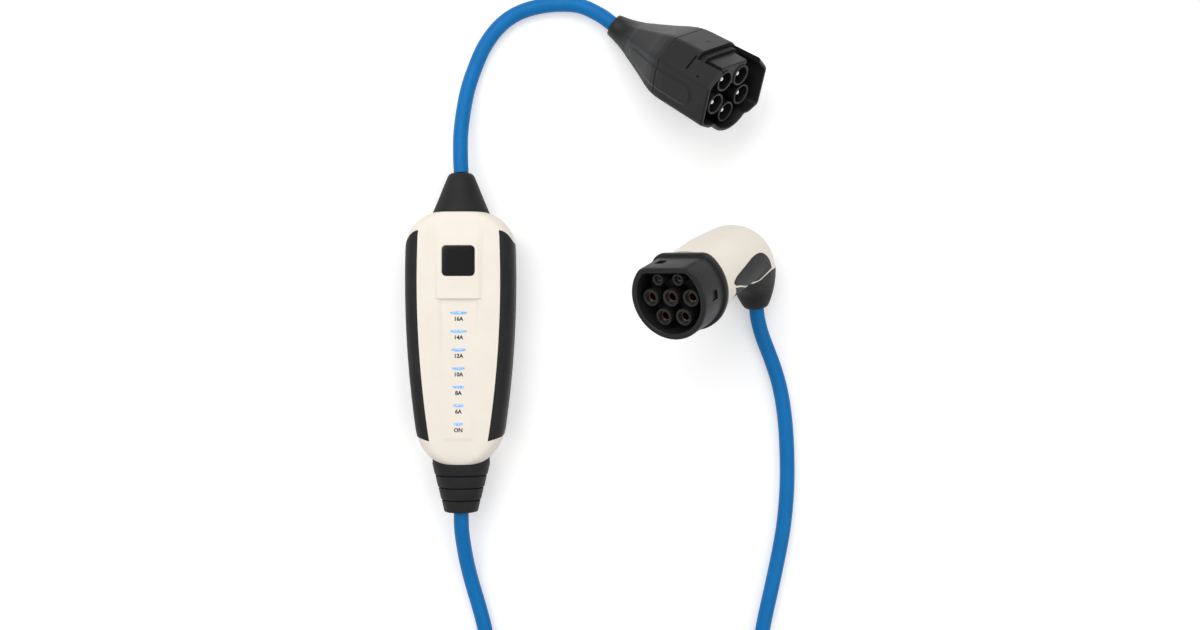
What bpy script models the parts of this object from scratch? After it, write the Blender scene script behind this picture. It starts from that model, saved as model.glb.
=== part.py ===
"""A portable charger for electric cars: a control box on its back, with a five-pin supply plug on a short
lead at one end and a seven-contact vehicle connector on a long lead at the other.

Metres, +Z up. The control box lies on its back on the plane Z = 0, its front looks up, and +Y runs from
the vehicle end to the supply end. The origin lies under the middle of the box and its two glands.
The plug and the connector are modelled in frames of their own, with their axis along local +Z and the
flat of their outline towards local +Y, and an empty puts each where it lies on the floor.
"""

import math

import bmesh
import bpy
import numpy as np
from mathutils import Matrix, Vector

MM = 0.001
GAP = 0.3 * MM  # between two pieces that touch

# Control box housing
BODY_LENGTH = 204 * MM
BODY_TOP = BODY_LENGTH / 2 + 2.8 * MM
BODY_BOTTOM = BODY_TOP - BODY_LENGTH
BODY_HALF_WIDTH = 43.8 * MM  # at the widest place
BODY_DEPTH = 46 * MM
WIDEST_Y = 50 * MM
SIDE_DROP = 13.5 * MM  # how much each side comes in at SIDE_REACH from the widest place
SIDE_REACH = 150 * MM
TIP_TO_TIP = 274.6 * MM  # over both glands
END_REACH = 30 * MM  # how far from its ends the outline starts to round
END_OVERSHOOT = 2.3 * MM
CORNER_RADIUS = 13 * MM
HOUSING_WALL = 2.5 * MM
BODY_STATIONS = 16
END_POWERS = (2.5, 6)  # how square the ends' superellipse is across and in depth
REACH = 0.2  # of a cutting box, well beyond the control box
CORNER_STEPS = 6

# Side grips
GRIP_BAND = 10 * MM
GRIP_DEPTH = 1.8 * MM
SEAT_GAP = 0.6 * MM  # behind a grip, between two faceted curves
GRIP_TOP = 90.5 * MM
GRIP_BOTTOM = -78.5 * MM
GRIP_TOP_SLANT = 9 * MM  # over the band's width, as is the next
GRIP_BOTTOM_SLANT = 3 * MM

# Front face
PAD_HALF_WIDTH = 17.4 * MM
PAD_TOP = BODY_TOP - 7.8 * MM
PAD_BOTTOM = 35.2 * MM
PAD_RISE = 1.5 * MM
CHANNEL_HALF_TOP = 15.4 * MM
CHANNEL_HALF_BOTTOM = 8.3 * MM
CHANNEL_BOTTOM = -84 * MM
CHANNEL_DEPTH = 1.6 * MM
BADGE_SIZE = 26 * MM
BADGE_THICK = 1.4 * MM
BADGE_Y = PAD_TOP - 30.6 * MM
BADGE_CORNER = 4 * MM
LAMP_FIRST_Y = 24.1 * MM
LAMP_PITCH = 15 * MM
LAMP_HALF_WIDTHS = [w * MM for w in (6.8, 6.6, 5.8, 5.2, 4.8, 4.2, 3.7)]
LAMP_HEIGHT = 2.0 * MM
GUIDE_HALF_WIDTH = 7.4 * MM
GUIDE_THICK = 1.6 * MM

# Glands
GLAND_BASE_HALF_WIDTH = 23.3 * MM
GLAND_BASE_HALF_DEPTH = 18.5 * MM
SUPPLY_TIP_RADIUS = 10.6 * MM
VEHICLE_TIP_RADIUS = 12.2 * MM
GLAND_SINK = 8 * MM  # how far the gland's skirt follows the rounded end of the body
NECK_RADIUS = 8 * MM
FLANGE_RADIUS = 10.4 * MM
FLANGE_THICK = 3 * MM
RIB_COUNT = 4
RIB_STEP = 0.9 * MM

# Inside the box
BOSS_RADIUS = 4.2 * MM
SCREW_RADIUS = 1.7 * MM
SCREW_HEAD_RADIUS = 3.4 * MM
SCREW_HEAD_THICK = 2.2 * MM
SCREW_LENGTH = 26 * MM
SCREW_CLEARANCE = 0.3 * MM
SCREW_SEAT = 2 * MM  # depth of the head's face below the back face
BOSS_YS = (76 * MM, 4 * MM, -66 * MM)
SEAL_THICK = 1.0 * MM
SEAL_SETBACK = 0.8 * MM
BOARD_CLEARANCE = 0.8 * MM  # to the bosses
BOARD_SETBACKS = (36.8 * MM, 45.2 * MM)  # from the supply end and the vehicle end
BOARD_THICK = 1.6 * MM
STANDOFF_HEIGHT = 4.5 * MM
STANDOFF_RADIUS = 3 * MM
STANDOFF_INSET = (5 * MM, 6 * MM)  # from the board's sides and ends
RELAY_SIZE = (15 * MM, 28 * MM, 17 * MM)
RELAY_X = 9 * MM
RELAY_SETBACK = 30 * MM  # of the relays' middle, from the board's supply end, as are the next
SUPPLY_SIZE = (26 * MM, 24 * MM, 16 * MM)
SUPPLY_SETBACK = 60 * MM
TERMINAL_SIZE = (38 * MM, 9 * MM, 9 * MM)
TERMINAL_WAYS = 5
TERMINAL_SETBACKS = (7 * MM, 26 * MM)  # from the board's supply end and from its vehicle end
WIRE_WAY_RADIUS = 2.4 * MM
SENSOR_RADIUS = BODY_DEPTH / 4
SENSOR_BORE = 6.5 * MM
SENSOR_WIDTH = 9 * MM
SENSOR_SETBACK = 12 * MM  # from the board's vehicle end
CLAMP_SIZE = (26 * MM, 7 * MM)
CLAMP_SETBACK = 7 * MM  # from the gland's flange, clear of the cavity's rounded end

# Cords
CORD_DIAMETER = 12.2 * MM
CORD_SIDES = 2  # bevel resolution
SHORT_LEAD_POINTS = 14
LONG_LEAD_POINTS = 19
COIL_MIDDLE_RADIUS = 78 * MM
COIL_HALF_WIDTH = 19 * MM
COIL_HEIGHT = 36 * MM
COIL_CORNER = 8 * MM
COIL_CENTRE = (128 * MM, -352 * MM)

# Supply plug
PLUG_LENGTH = 129 * MM
PLUG_SIDE = 35.5 * MM
PLUG_SIDE_TOP = 16 * MM
PLUG_SIDE_BOTTOM = -16.5 * MM
PLUG_TOP = 31.5 * MM
PLUG_TOP_HALF = 18 * MM
PLUG_KEEL_RADIUS = 25 * MM
PLUG_KEEL_DROP = 5.5 * MM  # how far the keel's centre lies below the axis
PLUG_LOWER_EDGE = (24 * MM, -22 * MM)
PLUG_SEAM = 55 * MM
PLUG_TAPER = 0.90  # the shroud's section at the seam, against its section at the mouth
PLUG_TAIL_RADIUS = 9.2 * MM
PLUG_TAIL_BEND = 30 * MM
TAIL_SWELL = 1.1  # how late the round tail grows into the shroud's outline
TAIL_SHARES = (0.0, 0.02, 0.12, 0.24, 0.36, 0.5, 0.64, 0.78, 0.9)  # where the tail has a section
TAIL_END = 0.86  # the rounded end's section, against the tail's
PLUG_WALL = 2.8 * MM
PLUG_BULKHEAD = PLUG_LENGTH - 49 * MM
PLUG_NOTCH_DEPTH = 17 * MM
PLUG_NOTCH_HALF = 23 * MM
PLUG_SLIT = (13 * MM, 1.2 * MM, 1.6 * MM)  # length, width and depth
SLIT_SETBACK = 31 * MM  # from the mouth
PLUG_PAD = (17 * MM, 44 * MM, 0.8 * MM)  # height, length and rise of the side pads
PLUG_PAD_SETBACK = 9 * MM  # from the seam
CORE_BASE_TOP = PLUG_LENGTH - 21 * MM
CORE_FACE = PLUG_LENGTH - 5 * MM
WELL_RING = 16.4 * MM
WELL_OUTER = 8.7 * MM
WELL_BORE = 6.9 * MM
WELL_FLOOR = PLUG_LENGTH - 39 * MM
PIN_RADIUS = 2.5 * MM
PIN_TIP = PLUG_LENGTH - 8 * MM
PIN_COUNT = 5
CORE_BLOCK_HALF = 15 * MM
CORE_BLOCK_TOP = 25 * MM

# Vehicle connector
COLLAR_RADIUS = 31.6 * MM
COLLAR_FLAT = 24.6 * MM
COLLAR_LENGTH = 28 * MM
COLLAR_WALL = 4.6 * MM
COLLAR_CORNER = 10 * MM
RIM_RADIUS = 34.0 * MM
RIM_FLAT = 27.0 * MM
RIM_THICK = 4.5 * MM
SLEEVE_PITCH = 17.3 * MM
SLEEVE_OUTER = 6.7 * MM
SLEEVE_BORE = 4.3 * MM
SIGNAL_OUTER = 4.6 * MM
SIGNAL_BORE = 2.6 * MM
SIGNAL_X = 8.6 * MM
SIGNAL_Y = 14.2 * MM
SLEEVE_TOP = 24 * MM
CARRIER_TOP = 7 * MM
CONTACT_TOP = 20 * MM
CONTACT_WALL = 1.1 * MM
BORE_FLOOR = 2 * MM  # left in the carrier below each contact
LATCH_SIZE = (6 * MM, 6 * MM, 1.6 * MM)
LATCH_Z = 13 * MM
LATCH_ANGLES = (112, -2, 182)
HANDLE_RADIUS = 30.5 * MM
HANDLE_BACK = 103 * MM  # from the rim to the middle of the knuckle
HANDLE_DROP = 50 * MM  # from the axis to the cord's exit
ELBOW_RADIUS = 35 * MM
ELBOW_TURN = math.radians(95)
KNUCKLE_RADIUS = 27.5 * MM
BOOT_RADIUS = 21 * MM
HANDLE_WALL = 3 * MM
EXIT_RADIUS = 9.4 * MM
BOOT_SHARE = 0.78  # where along the handle's path the boot starts
INLAY_DEPTH = 1.4 * MM
INLAY_SHARE = 0.50
INLAY_SPREAD = (0.30, 0.68, 0.84, 0.92, 0.95, 0.94)  # its half height against the handle's radius
INLAY_UPPER = 0.8  # how much of that it has on the side of the thumb

# Where the plug and the connector lie
PLUG_MOUTH = (217.3 * MM, 192.5 * MM)
PLUG_AXIS = (0.703, -0.508, 0.498)
PLUG_FLAT = (0.13, 0.80, 0.58)
CONNECTOR_RIM = (177.5 * MM, 42.5 * MM)
CONNECTOR_AXIS = (-0.537, -0.326, 0.778)
CONNECTOR_FLAT = (-0.184, 0.924, 0.30)

# Routes of the two leads, chosen by hand along the photograph's curves
SUPPLY_ROUTE = (
    (0.0, 137.9, 23.0), (-0.6, 152.0, 22.6), (-0.6, 174.0, 17.0), (3.0, 203.0, 9.2), (9.2, 224.5, 6.3),
    (18.2, 244.5, 6.2), (30.6, 260.6, 6.2), (46.5, 271.4, 6.2), (69.0, 277.2, 6.9), (94.0, 276.6, 9.4),
    (112.1, 268.5, 11.4), (122.82, 260.77, 12.02),
)
NEAR_ROUTE = (
    (0.0, -138.0, 23.0), (0.2, -152.0, 22.7), (1.6, -166.3, 17.6), (4.4, -186.0, 10.0), (9.6, -206.0, 6.6),
    (15.2, -225.0, 6.2), (19.4, -243.0, 6.2), (21.8, -266.0, 6.2), (23.0, -290.0, 6.2), (24.4, -320.0, 6.2),
    (25.3, -345.0, 6.2),
)
FAR_ROUTE = (
    (230.6, -345.0, 6.2), (233.6, -320.0, 6.2), (238.4, -290.0, 6.2), (243.0, -262.0, 6.2),
    (246.2, -237.2, 6.2), (253.1, -205.9, 6.2), (260.3, -171.7, 6.2), (264.2, -149.0, 6.2),
    (266.6, -120.0, 6.2), (266.6, -92.0, 6.2), (265.0, -64.0, 6.2), (260.6, -36.0, 6.2),
    (252.9, -12.0, 6.2), (246.9, 2.4, 6.6), (242.5, 14.95, 8.5), (240.91, 27.75, 11.27),
)

# Derived places
TIP_Y = TIP_TO_TIP / 2
SPLIT_Z = BODY_DEPTH / 2
CAVITY_INSET = GRIP_DEPTH + SEAT_GAP + HOUSING_WALL
BOARD_Z = CAVITY_INSET + STANDOFF_HEIGHT + GAP
BOARD_TOP = BODY_TOP - BOARD_SETBACKS[0]
BOARD_BOTTOM = BODY_BOTTOM + BOARD_SETBACKS[1]
FRONT_INNER_Z = BODY_DEPTH - CAVITY_INSET


def clear_scene():
    for item in list(bpy.data.objects):
        bpy.data.objects.remove(item, do_unlink=True)


def finish(name, bm):
    """Puts a bmesh into a new object, with its faces turned outwards."""
    bmesh.ops.recalc_face_normals(bm, faces=bm.faces)
    mesh = bpy.data.meshes.new(name)
    bm.to_mesh(mesh)
    bm.free()
    piece = bpy.data.objects.new(name, mesh)
    bpy.context.scene.collection.objects.link(piece)
    return piece


def loft(name, rings):
    """A closed skin through rings of equally many points, capped at both ends."""
    count = len(rings[0])
    bm = bmesh.new()
    rows = [[bm.verts.new(point) for point in ring] for ring in rings]
    for low, high in zip(rows, rows[1:]):
        for i in range(count):
            j = (i + 1) % count
            bm.faces.new((low[i], low[j], high[j], high[i]))
    bm.faces.new(rows[0])
    bm.faces.new(rows[-1])
    return finish(name, bm)


def prism(name, outline, low, high, axis="z"):
    """An outline of (a, b) points, carried straight from low to high along an axis."""
    order = {"z": lambda a, b, c: (a, b, c), "x": lambda a, b, c: (c, a, b), "y": lambda a, b, c: (a, c, b)}
    place = order[axis]
    return loft(name, [[place(a, b, level) for a, b in outline] for level in (low, high)])


def box(name, low, high):
    outline = [(low[0], low[1]), (high[0], low[1]), (high[0], high[1]), (low[0], high[1])]
    return prism(name, outline, low[2], high[2])


def circle(radius, steps, centre=(0, 0), phase=0.0):
    """Points round a circle."""
    turn = np.arange(steps) * 2 * np.pi / steps + phase
    return [(centre[0] + radius * math.cos(t), centre[1] + radius * math.sin(t)) for t in turn]


def turned(name, profile, steps, centre=(0, 0), axis="z"):
    """A profile of (radius, height) pairs, turned about an axis through centre."""
    order = {"z": lambda a, b, c: (a, b, c), "y": lambda a, b, c: (a, c, b)}
    place = order[axis]
    rings = [[place(a, b, height) for a, b in circle(radius, steps, centre)] for radius, height in profile]
    return loft(name, rings)


def rounded(half_width, half_height, radius, steps, centre=(0, 0)):
    """A rectangle's outline with round corners, counterclockwise from the right."""
    points = []
    corners = ((1, 1, 0), (-1, 1, 90), (-1, -1, 180), (1, -1, 270))
    for sx, sy, start in corners:
        cx = centre[0] + sx * (half_width - radius)
        cy = centre[1] + sy * (half_height - radius)
        for step in range(steps + 1):
            t = math.radians(start + 90 * step / steps)
            points.append((cx + radius * math.cos(t), cy + radius * math.sin(t)))
    return points


def grown(outline, growth):
    """The outline moved outwards by growth all round, with mitred corners."""
    points = np.array(outline, dtype=float)
    edges = np.roll(points, -1, axis=0) - points
    area = np.sum(points[:, 0] * np.roll(points[:, 1], -1) - points[:, 1] * np.roll(points[:, 0], -1))
    normals = np.stack([edges[:, 1], -edges[:, 0]], axis=1) * np.sign(area)
    normals /= np.linalg.norm(normals, axis=1)[:, None]
    before = np.roll(normals, 1, axis=0)
    mitre = (normals + before) / (1 + np.sum(normals * before, axis=1))[:, None]
    return [tuple(point) for point in points + growth * mitre]


def combine(piece, tool, operation):
    """Applies one exact Boolean to the piece and removes the tool."""
    modifier = piece.modifiers.new(operation.title(), "BOOLEAN")
    modifier.operation = operation
    modifier.solver = "EXACT"
    modifier.object = tool
    bpy.context.view_layer.update()
    graph = bpy.context.evaluated_depsgraph_get()
    mesh = bpy.data.meshes.new_from_object(piece.evaluated_get(graph))
    piece.modifiers.clear()
    piece.data = mesh
    bpy.data.objects.remove(tool, do_unlink=True)
    return piece


def cut(piece, *tools):
    for tool in tools:
        combine(piece, tool, "DIFFERENCE")
    return piece


def join(piece, *tools):
    for tool in tools:
        combine(piece, tool, "UNION")
    return piece


def keep(piece, *tools):
    for tool in tools:
        combine(piece, tool, "INTERSECT")
    return piece


def finish_piece(piece, material, smooth_angle=35):
    """Gives a piece its material and smooth shading between its sharp edges."""
    piece.data.materials.clear()
    piece.data.materials.append(material)
    piece.data.shade_smooth()
    piece.data.set_sharp_from_angle(angle=math.radians(smooth_angle))
    return piece


def make_material(name, colour, roughness, metallic=0.0, emission=0.0):
    material = bpy.data.materials.new(name)
    material.use_nodes = True
    shader = material.node_tree.nodes["Principled BSDF"]
    shader.inputs["Base Color"].default_value = (*colour, 1.0)
    shader.inputs["Roughness"].default_value = roughness
    shader.inputs["Metallic"].default_value = metallic
    shader.inputs["Emission Color"].default_value = (*colour, 1.0)
    shader.inputs["Emission Strength"].default_value = emission
    return material


def make_materials():
    return {
        "shell": make_material("cream_shell", (0.90, 0.86, 0.78), 0.42),
        "rubber": make_material("black_soft_grip", (0.035, 0.035, 0.037), 0.62),
        "plastic": make_material("black_plastic", (0.03, 0.03, 0.032), 0.48),
        "badge": make_material("badge_gloss", (0.01, 0.01, 0.012), 0.12),
        "lamp": make_material("lamp_lens", (0.45, 0.75, 1.0), 0.3, 0.0, 0.6),
        "cord": make_material("blue_cord", (0.02, 0.22, 0.62), 0.38),
        "pin": make_material("bright_pin", (0.85, 0.86, 0.88), 0.15, 1.0),
        "copper": make_material("copper_contact", (0.55, 0.22, 0.12), 0.3, 1.0),
        "steel": make_material("zinc_screw", (0.6, 0.6, 0.58), 0.35, 1.0),
        "board": make_material("green_board", (0.02, 0.16, 0.07), 0.5),
        "relay": make_material("relay_case", (0.02, 0.02, 0.025), 0.4),
        "ferrite": make_material("grey_ferrite", (0.12, 0.12, 0.13), 0.7),
        "terminal": make_material("grey_terminal", (0.35, 0.37, 0.36), 0.5),
        "seal": make_material("seal_rubber", (0.05, 0.05, 0.05), 0.8),
    }


# Control box

def side_half_width(y):
    """Half the width of the body before its ends round off, a parabola about the widest place."""
    return BODY_HALF_WIDTH - SIDE_DROP * ((WIDEST_Y - y) / SIDE_REACH) ** 2


def end_factor(y, power):
    """A superellipse that brings the outline in over END_REACH from each end."""
    from_end = min(BODY_TOP - y, y - BODY_BOTTOM)
    share = max(0.0, END_REACH - from_end) / (END_REACH + END_OVERSHOOT)
    return (1 - share**power) ** (1 / power)


def body_section(share, inset):
    """One rounded section of the housing, square to Y, inset all round."""
    y = BODY_BOTTOM + share * BODY_LENGTH
    half_width = side_half_width(y) * end_factor(y, END_POWERS[0]) - inset
    half_depth = SPLIT_Z * end_factor(y, END_POWERS[1]) - inset
    radius = min(CORNER_RADIUS, 0.95 * half_width, 0.9 * half_depth + inset) - 0.6 * inset
    y_inset = BODY_BOTTOM + inset + share * (BODY_LENGTH - 2 * inset)
    outline = rounded(half_width, half_depth, radius, CORNER_STEPS)
    return [(x, y_inset, SPLIT_Z + z) for x, z in outline]


def body_form(name, inset=0.0):
    """The whole outer form of the housing, grown or shrunk by an inset."""
    shares = 0.5 - 0.5 * np.cos(np.linspace(0, np.pi, BODY_STATIONS))
    return loft(name, [body_section(share, inset) for share in shares])


def grip_outline(side, growth=0.0):
    """The band that a side grip covers, seen from the front, with slanted ends."""
    ys = np.linspace(GRIP_BOTTOM, GRIP_TOP, 12)
    inner = [(side * (side_half_width(y) - GRIP_BAND), y) for y in ys]
    far = BODY_HALF_WIDTH + GRIP_BAND
    outer = [(side * far, GRIP_TOP - GRIP_TOP_SLANT * 2), (side * far, GRIP_BOTTOM + GRIP_BOTTOM_SLANT * 2)]
    return grown(inner + outer, growth)


def make_grip(name, side):
    grip = body_form(name)
    keep(grip, prism("band", grip_outline(side), -GRIP_BAND, BODY_DEPTH + GRIP_BAND))
    return cut(grip, body_form("seat", GRIP_DEPTH))


def boss_places():
    """The six screw bosses, just inside the grips so that the screws can be reached from the back."""
    places = []
    for y in BOSS_YS:
        x = side_half_width(y) - GRIP_BAND - SCREW_HEAD_RADIUS - 4 * GAP
        places += [(-x, y), (x, y)]
    return places


def make_housing(name):
    """The closed wall of the housing, with the grips' seats sunk in its sides."""
    housing = body_form(name)
    for side in (-1, 1):
        cut(housing, prism("seat", grip_outline(side, GAP), -GRIP_BAND, BODY_DEPTH + GRIP_BAND))
    join(housing, body_form("core", GRIP_DEPTH + SEAT_GAP))
    return housing


def neck_cutters():
    """The holes for the two glands' necks."""
    reach = GLAND_SINK + CAVITY_INSET + 4 * MM
    radius = NECK_RADIUS + GAP
    spans = ((BODY_TOP - reach, BODY_TOP + reach), (BODY_BOTTOM - reach, BODY_BOTTOM + reach))
    return [turned("neck_hole", [(radius, a), (radius, b)], 24, (0, SPLIT_Z), "y") for a, b in spans]


def make_rear_cover():
    cover = make_housing("rear_cover")
    cut(cover, body_form("cavity", CAVITY_INSET))
    top = SPLIT_Z - SEAL_THICK / 2 - GAP
    keep(cover, box("lower_half", (-REACH, -REACH, -REACH), (REACH, REACH, top)))
    floor = CAVITY_INSET - 1 * MM
    for x, y in boss_places():
        join(cover, turned("boss", [(BOSS_RADIUS, floor), (BOSS_RADIUS, top)], 12, (x, y)))
    for x, y in standoff_places():
        profile = [(STANDOFF_RADIUS, floor), (STANDOFF_RADIUS, CAVITY_INSET + STANDOFF_HEIGHT)]
        join(cover, turned("standoff", profile, 10, (x, y)))
    for x, y in boss_places():
        shank = SCREW_RADIUS + SCREW_CLEARANCE
        head = SCREW_HEAD_RADIUS + SCREW_CLEARANCE
        seat = SCREW_SEAT + SCREW_HEAD_THICK
        profile = [(head, -1 * MM), (head, seat), (shank, seat), (shank, top + 1 * MM)]
        cut(cover, turned("screw_way", profile, 12, (x, y)))
    return cut(cover, *neck_cutters())


def make_front_cover():
    cover = make_housing("front_cover")
    join(cover, make_pad())
    cut(cover, make_channel())
    cut(cover, body_form("cavity", CAVITY_INSET))
    bottom = SPLIT_Z + SEAL_THICK / 2 + GAP
    keep(cover, box("upper_half", (-REACH, -REACH, bottom), (REACH, REACH, REACH)))
    for x, y in boss_places():
        profile = [(BOSS_RADIUS, bottom), (BOSS_RADIUS, FRONT_INNER_Z + 1 * MM)]
        join(cover, turned("boss", profile, 12, (x, y)))
    for x, y in boss_places():
        bore = SCREW_RADIUS + SCREW_CLEARANCE
        tip = SCREW_SEAT + SCREW_LENGTH + SCREW_CLEARANCE
        cut(cover, turned("screw_bore", [(bore, bottom - 1 * MM), (bore, tip)], 12, (x, y)))
    badge_floor = BODY_DEPTH + PAD_RISE - BADGE_THICK - GAP
    pocket = rounded(BADGE_SIZE / 2 + GAP, BADGE_SIZE / 2 + GAP, BADGE_CORNER, 4, (0, BADGE_Y))
    cut(cover, prism("pocket", pocket, badge_floor, BODY_DEPTH + REACH))
    for y, half_width in lamp_places():
        slot = lamp_outline(y, half_width, GAP)
        cut(cover, prism("slot", slot, FRONT_INNER_Z - 1 * MM, BODY_DEPTH))
    return cut(cover, *neck_cutters())


def make_pad():
    """The raised pad round the badge: a soft-edged block with a straight lower edge."""
    half_length = (PAD_TOP - PAD_BOTTOM) / 2
    middle = (PAD_TOP + PAD_BOTTOM) / 2
    rings = []
    steps = ((-3 * MM, 2.6 * MM), (0.1 * MM, 1.6 * MM), (PAD_RISE * 0.7, 0.5 * MM), (PAD_RISE, -0.6 * MM))
    for rise, grow in steps:
        outline = rounded(PAD_HALF_WIDTH + grow, half_length + grow, 5 * MM + grow, 4, (0, middle))
        rings.append([(x, max(y, PAD_BOTTOM), BODY_DEPTH + rise) for x, y in outline])
    return loft("pad", rings)


def make_channel():
    """The shallow channel below the pad: it narrows downwards and slopes out at its foot."""
    rings = []
    for depth, grow in ((CHANNEL_DEPTH, 0.0), (CHANNEL_DEPTH * 0.4, 0.8 * MM), (-2.5 * MM, 3 * MM)):
        top = CHANNEL_HALF_TOP + grow
        foot = CHANNEL_HALF_BOTTOM + grow
        low = CHANNEL_BOTTOM - 3 * grow
        arc = [(foot * math.cos(math.radians(t)), low + foot * 0.7 * (1 + math.sin(math.radians(t))))
               for t in range(180, 361, 30)]
        outline = [(top, PAD_BOTTOM), (-top, PAD_BOTTOM)] + arc
        rings.append([(x, y, BODY_DEPTH - depth) for x, y in outline])
    return loft("channel", rings)


def lamp_places():
    return [(LAMP_FIRST_Y - i * LAMP_PITCH, width) for i, width in enumerate(LAMP_HALF_WIDTHS)]


def lamp_outline(y, half_width, growth=0.0):
    """A thin lens: two flat arcs that meet in points, blunted by the growth."""
    turn = np.linspace(0, 2 * np.pi, 12, endpoint=False)
    height = LAMP_HEIGHT / 2 + growth
    return [((half_width + growth) * math.cos(t), y + height * math.sin(t)) for t in turn]


def make_light_guide():
    """One clear strip under the front wall, with a lens standing up into each slot."""
    top = FRONT_INNER_Z - GAP
    middle = LAMP_FIRST_Y - 3 * LAMP_PITCH
    strip = rounded(GUIDE_HALF_WIDTH, 3 * LAMP_PITCH + 4 * MM, 2 * MM, 3, (0, middle))
    guide = prism("light_guide", strip, top - GUIDE_THICK, top)
    for y, half_width in lamp_places():
        lens_top = BODY_DEPTH - CHANNEL_DEPTH - 0.1 * MM
        join(guide, prism("lens", lamp_outline(y, half_width - GAP), top - GUIDE_THICK / 2, lens_top))
    return guide


def make_badge():
    """The plain gloss tile on the pad."""
    low = BODY_DEPTH + PAD_RISE - BADGE_THICK
    outline = rounded(BADGE_SIZE / 2, BADGE_SIZE / 2, BADGE_CORNER, 4, (0, BADGE_Y))
    inner = rounded(BADGE_SIZE / 2 - GAP, BADGE_SIZE / 2 - GAP, BADGE_CORNER - GAP, 4, (0, BADGE_Y))
    top = low + BADGE_THICK + 0.2 * MM
    rings = [[(x, y, low) for x, y in outline], [(x, y, top - GAP) for x, y in outline],
             [(x, y, top) for x, y in inner]]
    return loft("badge_tile", rings)


def make_side_seal(name, side):
    """The gasket strip between the two covers, along one side and round the corners to the glands."""
    seal = body_form(name, GRIP_DEPTH + SEAT_GAP + SEAL_SETBACK)
    cut(seal, body_form("cavity", CAVITY_INSET - GAP / 2))
    low, high = SPLIT_Z - SEAL_THICK / 2, SPLIT_Z + SEAL_THICK / 2
    inner = NECK_RADIUS + 2 * GAP
    span = sorted((side * inner, side * REACH))
    return keep(seal, box("slab", (span[0], -REACH, low), (span[1], REACH, high)))


def gland_section(y, half_width, half_depth):
    turn = np.linspace(0, 2 * np.pi, 28, endpoint=False)
    outline = [(half_width * math.cos(t), half_depth * math.sin(t)) for t in turn]
    return [(x, y, SPLIT_Z + z) for x, z in outline]


def make_gland(name, direction, tip_radius, ribbed):
    """A tapered strain relief: its skirt follows the body's end, and its neck and flange hold it inside."""
    end = BODY_TOP if direction > 0 else BODY_BOTTOM
    length = TIP_Y - abs(end)
    stations = [(-GLAND_SINK, 0.0)]
    if ribbed:
        for rib in range(RIB_COUNT):
            low, high = rib / RIB_COUNT, (rib + 1) / RIB_COUNT
            stations += [(length * low, low * 0.92), (length * high, high * 0.92)]
    else:
        stations += [(0.0, 0.0), (length * 0.5, 0.5), (length - 3.2 * MM, 0.93), (length - 1 * MM, 1.0)]
    rings = []
    for index, (distance, share) in enumerate(stations):
        shrink = RIB_STEP if ribbed and index % 2 == 1 and index > 1 else 0.0
        half_width = GLAND_BASE_HALF_WIDTH + share * (tip_radius - GLAND_BASE_HALF_WIDTH) - shrink
        half_depth = GLAND_BASE_HALF_DEPTH + share * (tip_radius - GLAND_BASE_HALF_DEPTH) - shrink
        nudge = 0.15 * MM if ribbed and index % 2 == 1 and index > 1 else 0.0
        rings.append(gland_section(end + direction * (distance + nudge), half_width, half_depth))
    tip = tip_radius - 2 * MM
    rings.append(gland_section(direction * TIP_Y, tip, tip))
    gland = loft(name, rings)
    cut(gland, body_form("body", -GAP))
    inside = end - direction * (CAVITY_INSET + GAP)
    neck = sorted((inside - direction * 1 * MM, end + direction * 4 * MM))
    flange = sorted((inside - direction * FLANGE_THICK, inside))
    profile = [(NECK_RADIUS, level) for level in neck]
    join(gland, turned("neck", profile, 24, (0, SPLIT_Z), "y"))
    profile = [(FLANGE_RADIUS, level) for level in flange]
    return join(gland, turned("flange", profile, 24, (0, SPLIT_Z), "y"))


def standoff_places():
    x = board_half_width() - STANDOFF_INSET[0]
    ys = (BOARD_BOTTOM + STANDOFF_INSET[1], BOARD_TOP - STANDOFF_INSET[1])
    return [(sx * x, y) for sx in (-1, 1) for y in ys]


def board_half_width():
    """The board fits between the bosses beside it."""
    beside = [abs(x) for x, y in boss_places() if BOARD_BOTTOM < y < BOARD_TOP]
    return min(beside) - BOSS_RADIUS - BOARD_CLEARANCE


def make_board():
    middle = (BOARD_TOP + BOARD_BOTTOM) / 2
    half_length = (BOARD_TOP - BOARD_BOTTOM) / 2
    outline = rounded(board_half_width(), half_length, 2 * MM, 2, (0, middle))
    return prism("circuit_board", outline, BOARD_Z, BOARD_Z + BOARD_THICK)


def make_block(name, centre, size, edge=1 * MM):
    """A moulded case standing on the board, with a narrower top edge."""
    base = BOARD_Z + BOARD_THICK + GAP
    rings = []
    for level, inset in ((0.0, 0.0), (size[2] - edge, 0.0), (size[2], edge)):
        outline = rounded(size[0] / 2 - inset, size[1] / 2 - inset, 1.5 * MM - inset / 2, 2, centre)
        rings.append([(x, y, base + level) for x, y in outline])
    return loft(name, rings)


def make_terminal(name, y):
    """A row of screw terminals, with a round wire way through each."""
    block = make_block(name, (0, y), TERMINAL_SIZE, 0.6 * MM)
    pitch = TERMINAL_SIZE[0] / TERMINAL_WAYS
    base = BOARD_Z + BOARD_THICK + GAP
    for way in range(TERMINAL_WAYS):
        x = (way - (TERMINAL_WAYS - 1) / 2) * pitch
        ends = (y - TERMINAL_SIZE[1], y + TERMINAL_SIZE[1])
        hole = [(WIRE_WAY_RADIUS, end) for end in ends]
        cut(block, turned("wire_way", hole, 8, (x, base + TERMINAL_SIZE[2] * 0.5), "y"))
    return block


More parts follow.
